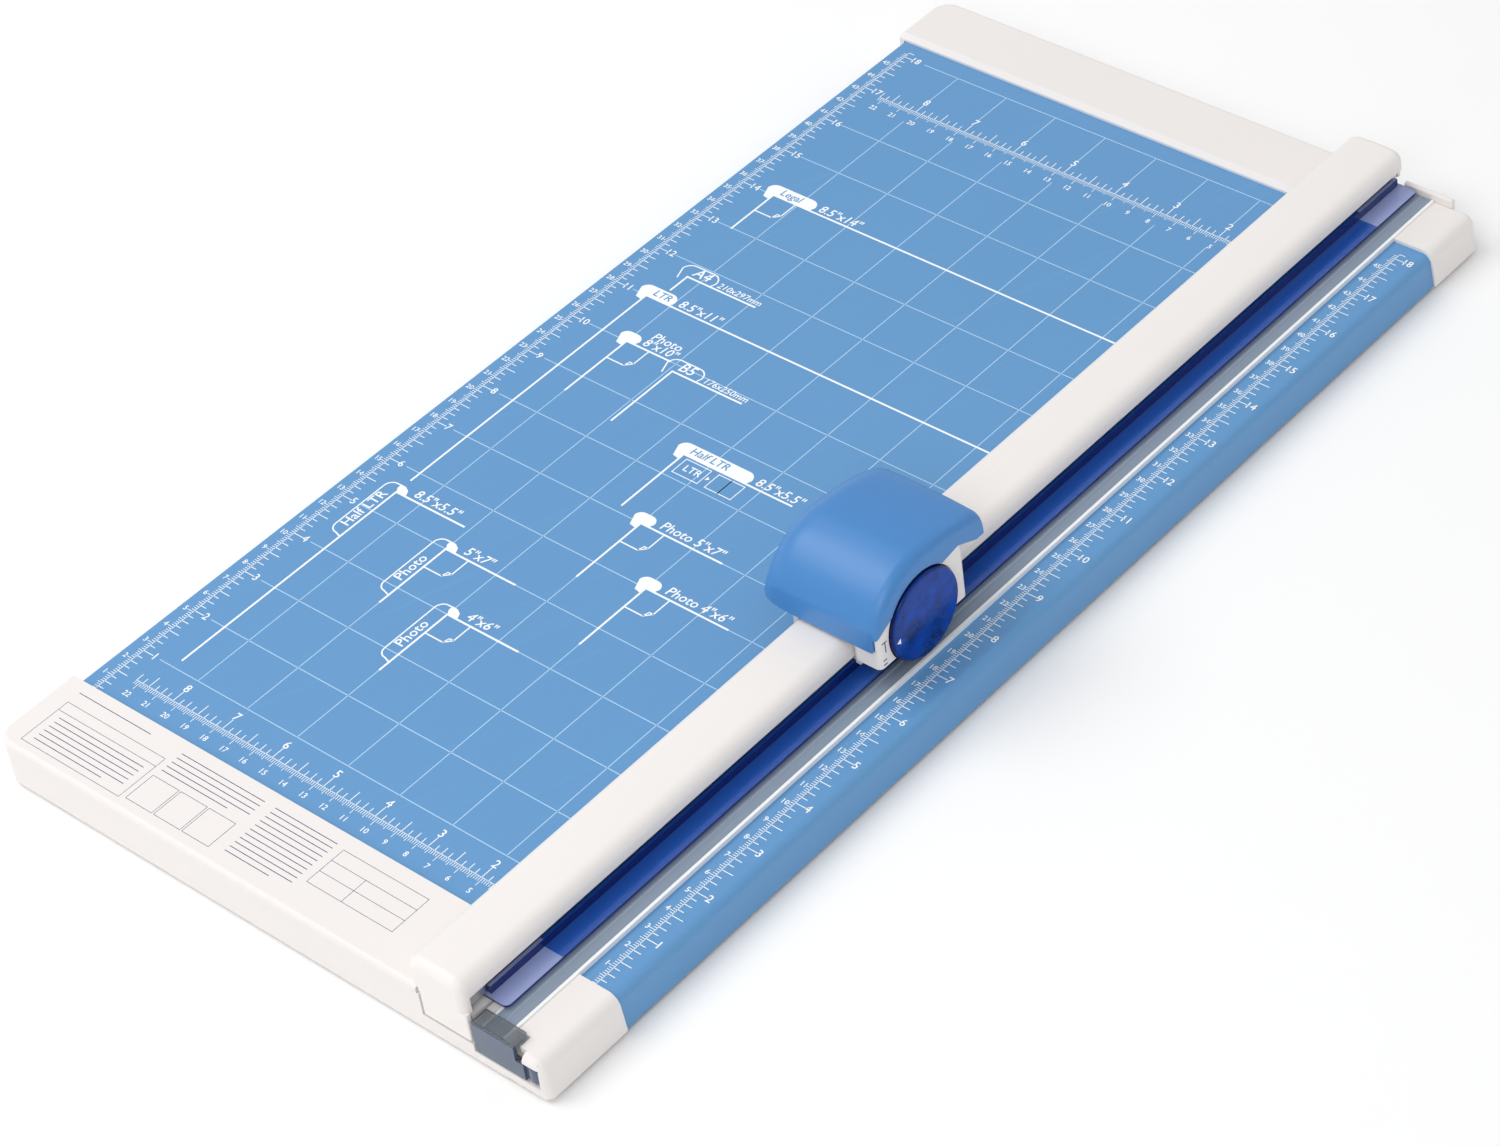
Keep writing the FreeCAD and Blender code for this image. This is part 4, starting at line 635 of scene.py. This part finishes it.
def grip_form(name, inset):
    """Closed form of the grip: its side profile, rolled over at both ends."""
    low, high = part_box("handle_shell")
    front, rear, top = low.y, high.y, high.z
    deep = top - GRIP_FOOT
    side = [(front + FRONT_PROFILE[0][0] * MM, deep)]
    side += [(front + behind * MM, top - below * MM) for behind, below in FRONT_PROFILE]
    side += [(rear - before * MM, top - below * MM) for before, below in REAR_PROFILE] + [(rear, deep)]
    places = [Vector(p) for p in side]
    profile = [places[0]] + smooth_path(places[1:-1]) + [places[-1]]
    centre = Vector((front + 29 * MM, top - 20 * MM))
    mesh = bmesh.new()
    rings = []
    left = low.x + inset
    right = high.x - inset
    spans = []
    for roll, edge, way in ((GRIP_LEFT_ROLL - inset, left, 1), (GRIP_RIGHT_ROLL - inset, right, -1)):
        part = []
        for step in range(13):
            angle = math.pi / 2 * step / 12
            part.append((edge + way * roll * (1 - math.cos(angle)), roll * (1 - math.sin(angle))))
        spans.append(part if way > 0 else part[::-1])
    first_x, last_x = spans[0][-1][0], spans[1][0][0]
    flat = [(first_x + (last_x - first_x) * k / 8, 0.0) for k in range(1, 8)]
    half = (right - left) / 2
    for x, drop in spans[0] + flat + spans[1]:
        bow = GRIP_CROWN * ((x - (left + right) / 2) / half) ** 2
        ring = []
        for step in range(GRIP_RING):
            angle = 2 * math.pi * step / GRIP_RING
            reach = max(0.5 * MM, convex_reach(profile, centre, inset, drop + bow, angle))
            place = centre + reach * Vector((math.cos(angle), math.sin(angle)))
            ring.append(mesh.verts.new((x, place.x, max(place.y, deep))))
        rings.append(ring)
    for a, b in zip(rings, rings[1:]):
        for k in range(GRIP_RING):
            j = (k + 1) % GRIP_RING
            mesh.faces.new((a[k], a[j], b[j], b[k]))
    mesh.faces.new(rings[0][::-1])
    mesh.faces.new(rings[-1])
    return object_from(name, mesh_data(name, mesh), GRIP_BLUE)


def side_prism(name, outline, x0, x1):
    """Cutting tool along X over an outline of (y, z) places."""
    return object_from(name, prism_data(name, [outline], x0, x1), GRIP_BLUE)


def cut(target, tool):
    """Take one closed form out of another."""
    modifier = target.modifiers.new("cut", "BOOLEAN")
    modifier.operation = "DIFFERENCE"
    modifier.solver = "EXACT"
    modifier.object = tool
    graph = bpy.context.evaluated_depsgraph_get()
    graph.update()
    made = bpy.data.meshes.new_from_object(target.evaluated_get(graph))
    target.modifiers.clear()
    target.data = made
    data = tool.data
    bpy.data.objects.remove(tool)
    bpy.data.meshes.remove(data)


WIDE = 30 * MM               # how far the cutting tools pass the grip
RIM = [(-28.5, -40), (-28.5, 2.6), (-23.6, 5.9)]    # mm behind and above the axle, as are the next two
TAIL = [(21, 15.8), (31, 11.4), (40, 11.2), (40, -40)]
UNDER_LIP = [(25, -40), (25, 2.2), (31, 11.5), (60, 11.5), (60, -40)]
ARCH_RADIUS = 18.7 * MM
SIDE_WALL = 2.6 * MM         # depth of the arch into the grip's right end
SHARP = math.radians(40)


def from_axle(places):
    """Places in (y, z) from places in mm behind and above the blade axle."""
    return [(AXLE.y + behind * MM, AXLE.z + above * MM) for behind, above in places]


def grip():
    """Moulded hand grip, open below, arched over the cartridge and cut away under its rear lip."""
    low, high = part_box("handle_shell")
    shell = grip_form("hand_grip", 0.0)
    cut(shell, grip_form("grip_room", GRIP_WALL))
    front, rear = low.y - WIDE, high.y + WIDE
    cut(shell, side_prism("below", [(front, -WIDE), (rear, -WIDE), (rear, low.z), (front, low.z)],
                          low.x - WIDE, high.x + WIDE))
    arch = arc((AXLE.y, AXLE.z), ARCH_RADIUS, 148, 50, steps=14)
    cut(shell, side_prism("arch", from_axle(RIM) + arch + from_axle(TAIL), high.x - SIDE_WALL, high.x + WIDE))
    cut(shell, side_prism("under_lip", from_axle(UNDER_LIP), low.x - WIDE, high.x + WIDE))
    shell.data.materials.clear()
    shell.data.materials.append(GRIP_BLUE)
    shell.data.shade_smooth()
    shell.data.set_sharp_from_angle(angle=SHARP)
    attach(shell, "cutting_head")
    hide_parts("handle_shell")


grip()


POINTER = [(-16.4, -1.4), (-14.4, -0.2), (-14.4, -2.6)]         # mm behind and above the axle
TURN_BARS = [(-22.0, 1.3, -19.4, 1.8), (-20.6, -3.2, -20.1, 1.3), (-22.0, -6.4, -20.2, -5.9),
             (-22.0, -8.4, -20.2, -7.9)]


def face_print(name, outlines, x, material, body):
    """Printing on a face that looks along X, over outlines in mm from the axle, riding a body."""
    data = prism_data(name, [from_axle(outline) for outline in outlines], x - INK_SUNK, x + INK)
    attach(object_from(name, data, material), body)


def turn_marks():
    """White pointer on the cartridge and dark turning marks beside it on the housing."""
    face_print("cartridge_pointer", [POINTER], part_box("cartridge_cover")[1].x, INK_WHITE, "cartridge")
    bars = [[(a, b), (c, b), (c, d), (a, d)] for a, b, c, d in TURN_BARS]
    face_print("housing_turn_marks", bars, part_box("cutter_housing")[1].x, INK_DARK, "cutting_head")


turn_marks()


# Board printing

THIN = 0.36 * MM
BOLD = 0.85 * MM
FINE = 0.25 * MM
TAB_INK = INK * 1.5          # the filled tabs lie over the arms
MARK_INK = INK * 1.2         # and so do the size words and thin outlines
GRID_INK = INK / 2
LAST_INCH = 18
GRID_LEFT = 8.78
LAST_ROW_LEFT = 8.7
FRONT_RULER = 0.52           # inches behind the stop, as are the next two
REAR_RULER = 16.92
RULER_ROOM = (16.62, 17.28)  # where the grid's long lines break off round the rear ruler
UNDER_RAIL = (CUT_X - RAIL_X) / INCH - 0.1
MARK_TEXT = 0.125 * INCH


def grid():
    """Inch grid in thin pale lines, open where the cross rulers stand."""
    sheet = Print(BOARD_Z, GRID_INK)
    for row in range(1, LAST_INCH + 1):
        if row == int(REAR_RULER) + 1:
            continue
        left = GRID_LEFT if row < LAST_INCH else LAST_ROW_LEFT
        sheet.stroke([on_board(left, row), on_board(UNDER_RAIL, row)], THIN)
    for column in range(2, 9):
        sheet.stroke([on_board(column, 1), on_board(column, RULER_ROOM[0])], THIN)
        sheet.stroke([on_board(column, RULER_ROOM[1]), on_board(column, LAST_INCH)], THIN)
    sheet.make("board_grid", INK_PALE, "base")


def side_scale(sheet, base_x, first_y, outward, inches, figure_gap, inch_gap):
    """Two scales along Y: millimetres on the outward side, eighths of an inch on the other."""
    ticks(sheet, (base_x, first_y), 0, outward < 0, count=inches * 254 // 10 + 3, pitch=MM, width=FINE,
          short=1.7 * MM, middle=2.3 * MM, long=2.9 * MM)
    ticks(sheet, (base_x, first_y), 0, outward > 0, count=inches * 8 + 2, pitch=INCH / 8, width=FINE * 1.3,
          short=2.6 * MM, middle=3.4 * MM, long=5.0 * MM, middle_every=2, long_every=4)
    sheet.stroke([(base_x, first_y), (base_x, first_y + (inches + 0.125) * INCH)], FINE)
    for inch in range(1, inches + 1):
        sheet.figures(str(inch), (base_x - outward * inch_gap, first_y + inch * INCH), 2.5 * MM, turn=0)
    for ten in range(1, int(inches * 2.54) + 1):
        sheet.figures(str(ten), (base_x + outward * figure_gap, first_y + ten * 10 * MM), 1.7 * MM, turn=0)


def cross_scale(sheet, behind):
    """Two scales along X, read leftwards from the cut line: eighths behind the line, millimetres in front."""
    start = on_board(0, behind)
    from_mm, to_mm = 34, 222
    from_eighth, to_eighth = 11, 70
    first = start - Vector((from_mm * MM, 0))
    ticks(sheet, first, 90, True, count=to_mm - from_mm + 1, pitch=MM, width=FINE, short=2.0 * MM,
          middle=2.8 * MM, long=4.0 * MM, first=from_mm)
    first = start - Vector((from_eighth * INCH / 8, 0))
    ticks(sheet, first, 90, False, count=to_eighth - from_eighth + 1, pitch=INCH / 8, width=FINE * 1.3,
          short=2.6 * MM, middle=3.4 * MM, long=5.4 * MM, middle_every=2, long_every=4, first=from_eighth)
    sheet.stroke([start - Vector((from_mm * MM, 0)), start - Vector((to_mm * MM, 0))], FINE)
    for inch in range(2, 9):
        sheet.figures(str(inch), on_board(inch, behind + 0.28), 2.7 * MM, turn=0)
    for ten in range(4, 23):
        sheet.figures(str(ten), start + Vector((-ten * 10 * MM, -7.0 * MM)), 1.8 * MM, turn=0)


def corner_arms(sheet, wide, tall, across_to, down_to):
    """The two bold arms that mark the far left corner of a sheet."""
    sheet.stroke([on_board(across_to, tall), on_board(wide, tall), on_board(wide, down_to)], BOLD)


def tab_outline(wide, tall, end, rise=0.24):
    """Pill-shaped tab that wraps the upper left corner of a size mark and ends at `end` on its arm."""
    overhang = 0.21
    drop = 0.12
    radius = rise * 0.62
    places = [(wide, tall), (wide, tall - drop), (wide + overhang * 0.62, tall - drop * 0.8)]
    places += arc((wide + overhang - radius, tall + rise - radius), radius, 10, 90)
    places += arc((end + radius, tall + rise - radius), radius, 90, 180)
    return [on_board(*p) for p in places + [(end + 0.04, tall)]]


def tall_tab_outline(wide, tall, end):
    """The same tab turned to stand along the left side of a mark; `end` is its foot."""
    width = 0.26
    radius = 0.14
    places = [(wide - 0.02, end - 0.02)]
    places += arc((wide + width - radius, end + radius + 0.02), radius, -90, 0)
    places += arc((wide + width - radius, tall + 0.15 - radius), radius, 0, 90)
    return [on_board(*p) for p in places]


def page_icon(sheet, wide, tall):
    """Small page with a turned corner in the angle of a photo mark."""
    curl = 0.11
    inner, near = wide - 0.46, tall - 0.46
    fold = [on_board(inner + curl, near), on_board(inner, near + curl)]
    sheet.stroke([on_board(wide, near), *fold, on_board(inner, tall)], BOLD * 0.7)
    sheet.stroke([fold[0], on_board(inner + curl * 0.7, near + curl), fold[1]], BOLD * 0.6)


def labelled(sheet, text, left, behind, size=MARK_TEXT, slant=0.12, turn=0.0):
    """Words that start at a place on the board."""
    sheet.figures(text, on_board(left, behind), size, turn=turn, slant=slant, middle=False)


def frame_at(sheet, left, right, far, near, width):
    """A four-sided frame on the board."""
    corners = [on_board(left, far), on_board(right, far), on_board(right, near), on_board(left, near)]
    sheet.stroke(corners, width, closed=True)


def size_marks():
    """Paper and photo sizes: corner arms, tabs and generic size words."""
    arms = Print(BOARD_Z)
    sheet = Print(BOARD_Z, MARK_INK)
    tabs = Print(BOARD_Z, TAB_INK)
    for wide, tall, end, across_to, down_to, size_text in (
            (8.5, 14, 7.72, UNDER_RAIL, 12.98, '8.5"x14"'),
            (8.5, 11, 7.99, UNDER_RAIL, 5.80, '8.5"x11"'),
            (5.5, 8.5, 4.26, 3.40, 7.13, '8.5"x5.5"')):
        corner_arms(arms, wide, tall, across_to, down_to)
        tabs.fill(tab_outline(wide, tall, end)[::-1])
        labelled(sheet, size_text, end - 0.07, tall + 0.06)
    for wide, tall, end, across_to, down_to, size_text in (
            (210 * MM / INCH, 297 * MM / INCH, 7.77, 6.88, 11.29, "210x297mm"),
            (176 * MM / INCH, 250 * MM / INCH, 6.43, 5.54, 8.47, "176x250mm")):
        corner_arms(arms, wide, tall, across_to, down_to)
        sheet.stroke(tab_outline(wide, tall, end, rise=0.27)[2:], BOLD * 0.7)
        labelled(sheet, size_text, end - 0.05, tall + 0.05, size=MARK_TEXT * 0.72)
    page_icon(sheet, 8.5, 14)
    labelled(sheet, "A4", 8.24, 11.76, size=MARK_TEXT * 1.15)
    labelled(sheet, "B5", 6.90, 9.91, size=MARK_TEXT * 1.15)
    for wide, tall, across_to, down_to, size_text in (
            (8, 10, 7.10, 8.61, None),
            (5, 7, 3.43, 5.62, 'Photo 5"x7"'),
            (4, 6, 2.44, 4.60, 'Photo 4"x6"')):
        corner_arms(arms, wide, tall, across_to, down_to)
        tabs.fill(tab_outline(wide, tall, wide - 0.19, rise=0.21)[::-1])
        page_icon(sheet, wide, tall)
        if size_text:
            labelled(sheet, size_text, wide - 0.28, tall + 0.07)
    labelled(sheet, "Photo", 7.74, 10.24, size=MARK_TEXT)
    labelled(sheet, '8"x10"', 7.76, 10.06, size=MARK_TEXT)
    for wide, tall, end, across_to, down_to, word, size_text in (
            (8.5, 5.5, 4.34, 7.10, 1.16, "Half LTR", '8.5"x5.5"'),
            (7, 5, 3.83, 5.61, 3.63, "Photo", '5"x7"'),
            (6, 4, 2.83, 4.61, 2.62, "Photo", '4"x6"')):
        corner_arms(arms, wide, tall, across_to, down_to)
        outline = tall_tab_outline(wide, tall, end)
        sheet.stroke(outline + [on_board(wide + 0.05, tall + 0.15)], BOLD * 0.7)
        knob = [(wide + 0.05, tall + 0.08), (wide + 0.05, tall + 0.165), (wide - 0.05, tall + 0.16),
                (wide - 0.14, tall + 0.11), (wide - 0.19, tall), (wide, tall)]
        tabs.fill([on_board(*p) for p in knob])
        labelled(sheet, size_text, wide - 0.27, tall + 0.07)
        photo = word == "Photo"
        labelled(sheet, word, wide + 0.07, end + (0.3 if photo else 0.2), turn=90, slant=0.0)
        if photo:
            page_icon(sheet, wide, tall)
    for x0, x1 in ((5.39, 4.90), (4.755, 4.505), (4.505, 4.255)):
        frame_at(sheet, x0, x1, 8.11, 8.44, BOLD * 0.45)
    labelled(sheet, "LTR", 5.30, 8.22, size=MARK_TEXT * 0.8, slant=0)
    sheet.fill([on_board(*p) for p in ((4.86, 8.23), (4.80, 8.275), (4.86, 8.32))])
    arms.make("board_size_arms", INK_WHITE, "base")
    sheet.make("board_size_marks", INK_WHITE, "base")
    tabs.make("board_size_tabs", INK_WHITE, "base")


def tab_words():
    """Size words in the board's blue on the filled tabs."""
    sheet = Print(BOARD_Z + TAB_INK)
    labelled(sheet, "Legal", 8.44, 14.06, size=MARK_TEXT * 0.85)
    labelled(sheet, "LTR", 8.44, 11.06, size=MARK_TEXT * 0.85)
    labelled(sheet, "Half LTR", 5.46, 8.56, size=MARK_TEXT * 0.85)
    sheet.make("board_tab_words", BOARD_BLUE, "base")


def board_scales():
    """Scales along the board's left side and along the front and rear cross rulers."""
    sheet = Print(BOARD_Z)
    side_scale(sheet, on_board(9.12, 0).x, STOP_Y, -1, LAST_INCH, 3.9 * MM, 5.9 * MM)
    cross_scale(sheet, FRONT_RULER)
    cross_scale(sheet, REAR_RULER)
    sheet.make("board_scales", INK_WHITE, "base")


def strip_scale():
    """Scales on the ruler strip to the right of the cut."""
    sheet = Print(STRIP_Z)
    side_scale(sheet, CUT_X + 12.7 * MM, STOP_Y, -1, LAST_INCH, 3.4 * MM, 5.6 * MM)
    sheet.make("side_ruler_scale", INK_WHITE, "base")


FORM_LINE = 0.2 * MM


def rules(sheet, left, right, far, count):
    """Ruled lines one below another, as for lines of words; the last is shorter."""
    for row in range(count):
        short = 0.35 if row == count - 1 else 0.0
        behind = far - row * 0.095
        sheet.stroke([on_board(left, behind), on_board(right + short, behind)], FORM_LINE * 1.6)


def front_form():
    """Blank ruled form printed on the front cover: frames and lines with no words."""
    sheet = Print(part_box("front_cover")[1].z, INK / 2)
    frame_at(sheet, 9.12, 7.12, -0.42, -1.30, FORM_LINE)
    sheet.stroke([on_board(9.12, -0.60), on_board(7.12, -0.60)], FORM_LINE)
    rules(sheet, 8.98, 7.25, -0.71, 6)
    rules(sheet, 9.12, 7.30, -0.20, 1)
    for left in (7.02, 6.46, 5.90):
        frame_at(sheet, left, left - 0.52, -0.74, -1.26, FORM_LINE)
    rules(sheet, 7.0, 5.35, -0.22, 5)
    rules(sheet, 5.15, 3.95, -0.22, 11)
    frame_at(sheet, 3.80, 2.20, -0.25, -0.95, FORM_LINE)
    sheet.stroke([on_board(3.80, -0.48), on_board(2.20, -0.48)], FORM_LINE)
    sheet.stroke([on_board(3.80, -0.71), on_board(2.20, -0.71)], FORM_LINE)
    sheet.stroke([on_board(3.15, -0.48), on_board(3.15, -0.95)], FORM_LINE)
    sheet.make("front_form", INK_DARK, "base")


grid()
front_form()
size_marks()
tab_words()
board_scales()
strip_scale()


# Light, floor and camera

FLOOR_REACH = 6.0
FLOOR_WHITE = (0.97, 0.97, 0.965)
SKY = (0.97, 0.98, 1.0, 1)
SKY_POWER = 0.60
LIGHTS = (                   # name, place, aim, size, power, colour
    ("key_softbox", (-1.0, -0.7, 1.8), (0, 0, 0), (1.6, 1.6), 23, (1.0, 0.99, 0.97)),
    ("fill_softbox", (0.9, -1.6, 1.5), (0, 0, 0), (1.4, 1.0), 10, (1, 1, 1)),
    ("rear_softbox", (0.4, 1.8, 1.4), (0, 0.1, 0), (1.8, 0.8), 2.5, (1, 1, 1)),
)


def area_light(name, place, aim, size, power, colour):
    """A rectangular lamp at a place, turned to its aim."""
    data = bpy.data.lights.new(name, "AREA")
    data.shape = "RECTANGLE"
    data.size, data.size_y = size
    data.energy = power
    data.color = colour
    lamp = bpy.data.objects.new(name, data)
    bpy.context.scene.collection.objects.link(lamp)
    lamp.location = place
    lamp.rotation_euler = (Vector(aim) - Vector(place)).to_track_quat("-Z", "Y").to_euler()


def studio():
    """White floor, pale surroundings and three lamps."""
    floor_mesh = bpy.data.meshes.new("floor")
    corners = [(x * FLOOR_REACH, y * FLOOR_REACH, 0) for x, y in ((-1, -1), (1, -1), (1, 1), (-1, 1))]
    floor_mesh.from_pydata(corners, [], [(0, 1, 2, 3)])
    white = finish("pale_floor", FLOOR_WHITE, 0.85, grain_scale=40.0, grain=0.05, drift=0.01)
    floor = object_from("floor", floor_mesh, white)
    world = bpy.data.worlds.new("studio")
    bpy.context.scene.world = world
    world.use_nodes = True
    background = world.node_tree.nodes["Background"]
    background.inputs[0].default_value = SKY
    background.inputs[1].default_value = SKY_POWER
    for light in LIGHTS:
        area_light(*light)


CAMERA_PLACE = (0.87695, -0.8435, 1.0411)
CAMERA_ACROSS = Vector((0.7658, 0.6363, -0.0933))       # directions of the view in the frame
CAMERA_DOWN = Vector((0.3712, -0.5558, -0.7438))
CAMERA_AHEAD = Vector((-0.5251, 0.5350, -0.6618))
CAMERA_LENS = 103.2
CAMERA_SENSOR = 36
CAMERA_SHIFT = (-0.0849, -0.0115)


def make_camera():
    """Long-lens view from the right front, over the near corner."""
    data = bpy.data.cameras.new("camera")
    data.lens = CAMERA_LENS
    data.sensor_width = CAMERA_SENSOR
    data.shift_x, data.shift_y = CAMERA_SHIFT
    camera = bpy.data.objects.new("camera", data)
    bpy.context.scene.collection.objects.link(camera)
    turn = Matrix((CAMERA_ACROSS, -CAMERA_DOWN, -CAMERA_AHEAD)).transposed().to_4x4()
    camera.matrix_world = Matrix.Translation(CAMERA_PLACE) @ turn
    bpy.context.scene.camera = camera


studio()
make_camera()
bpy.context.scene.view_settings.view_transform = "Standard"
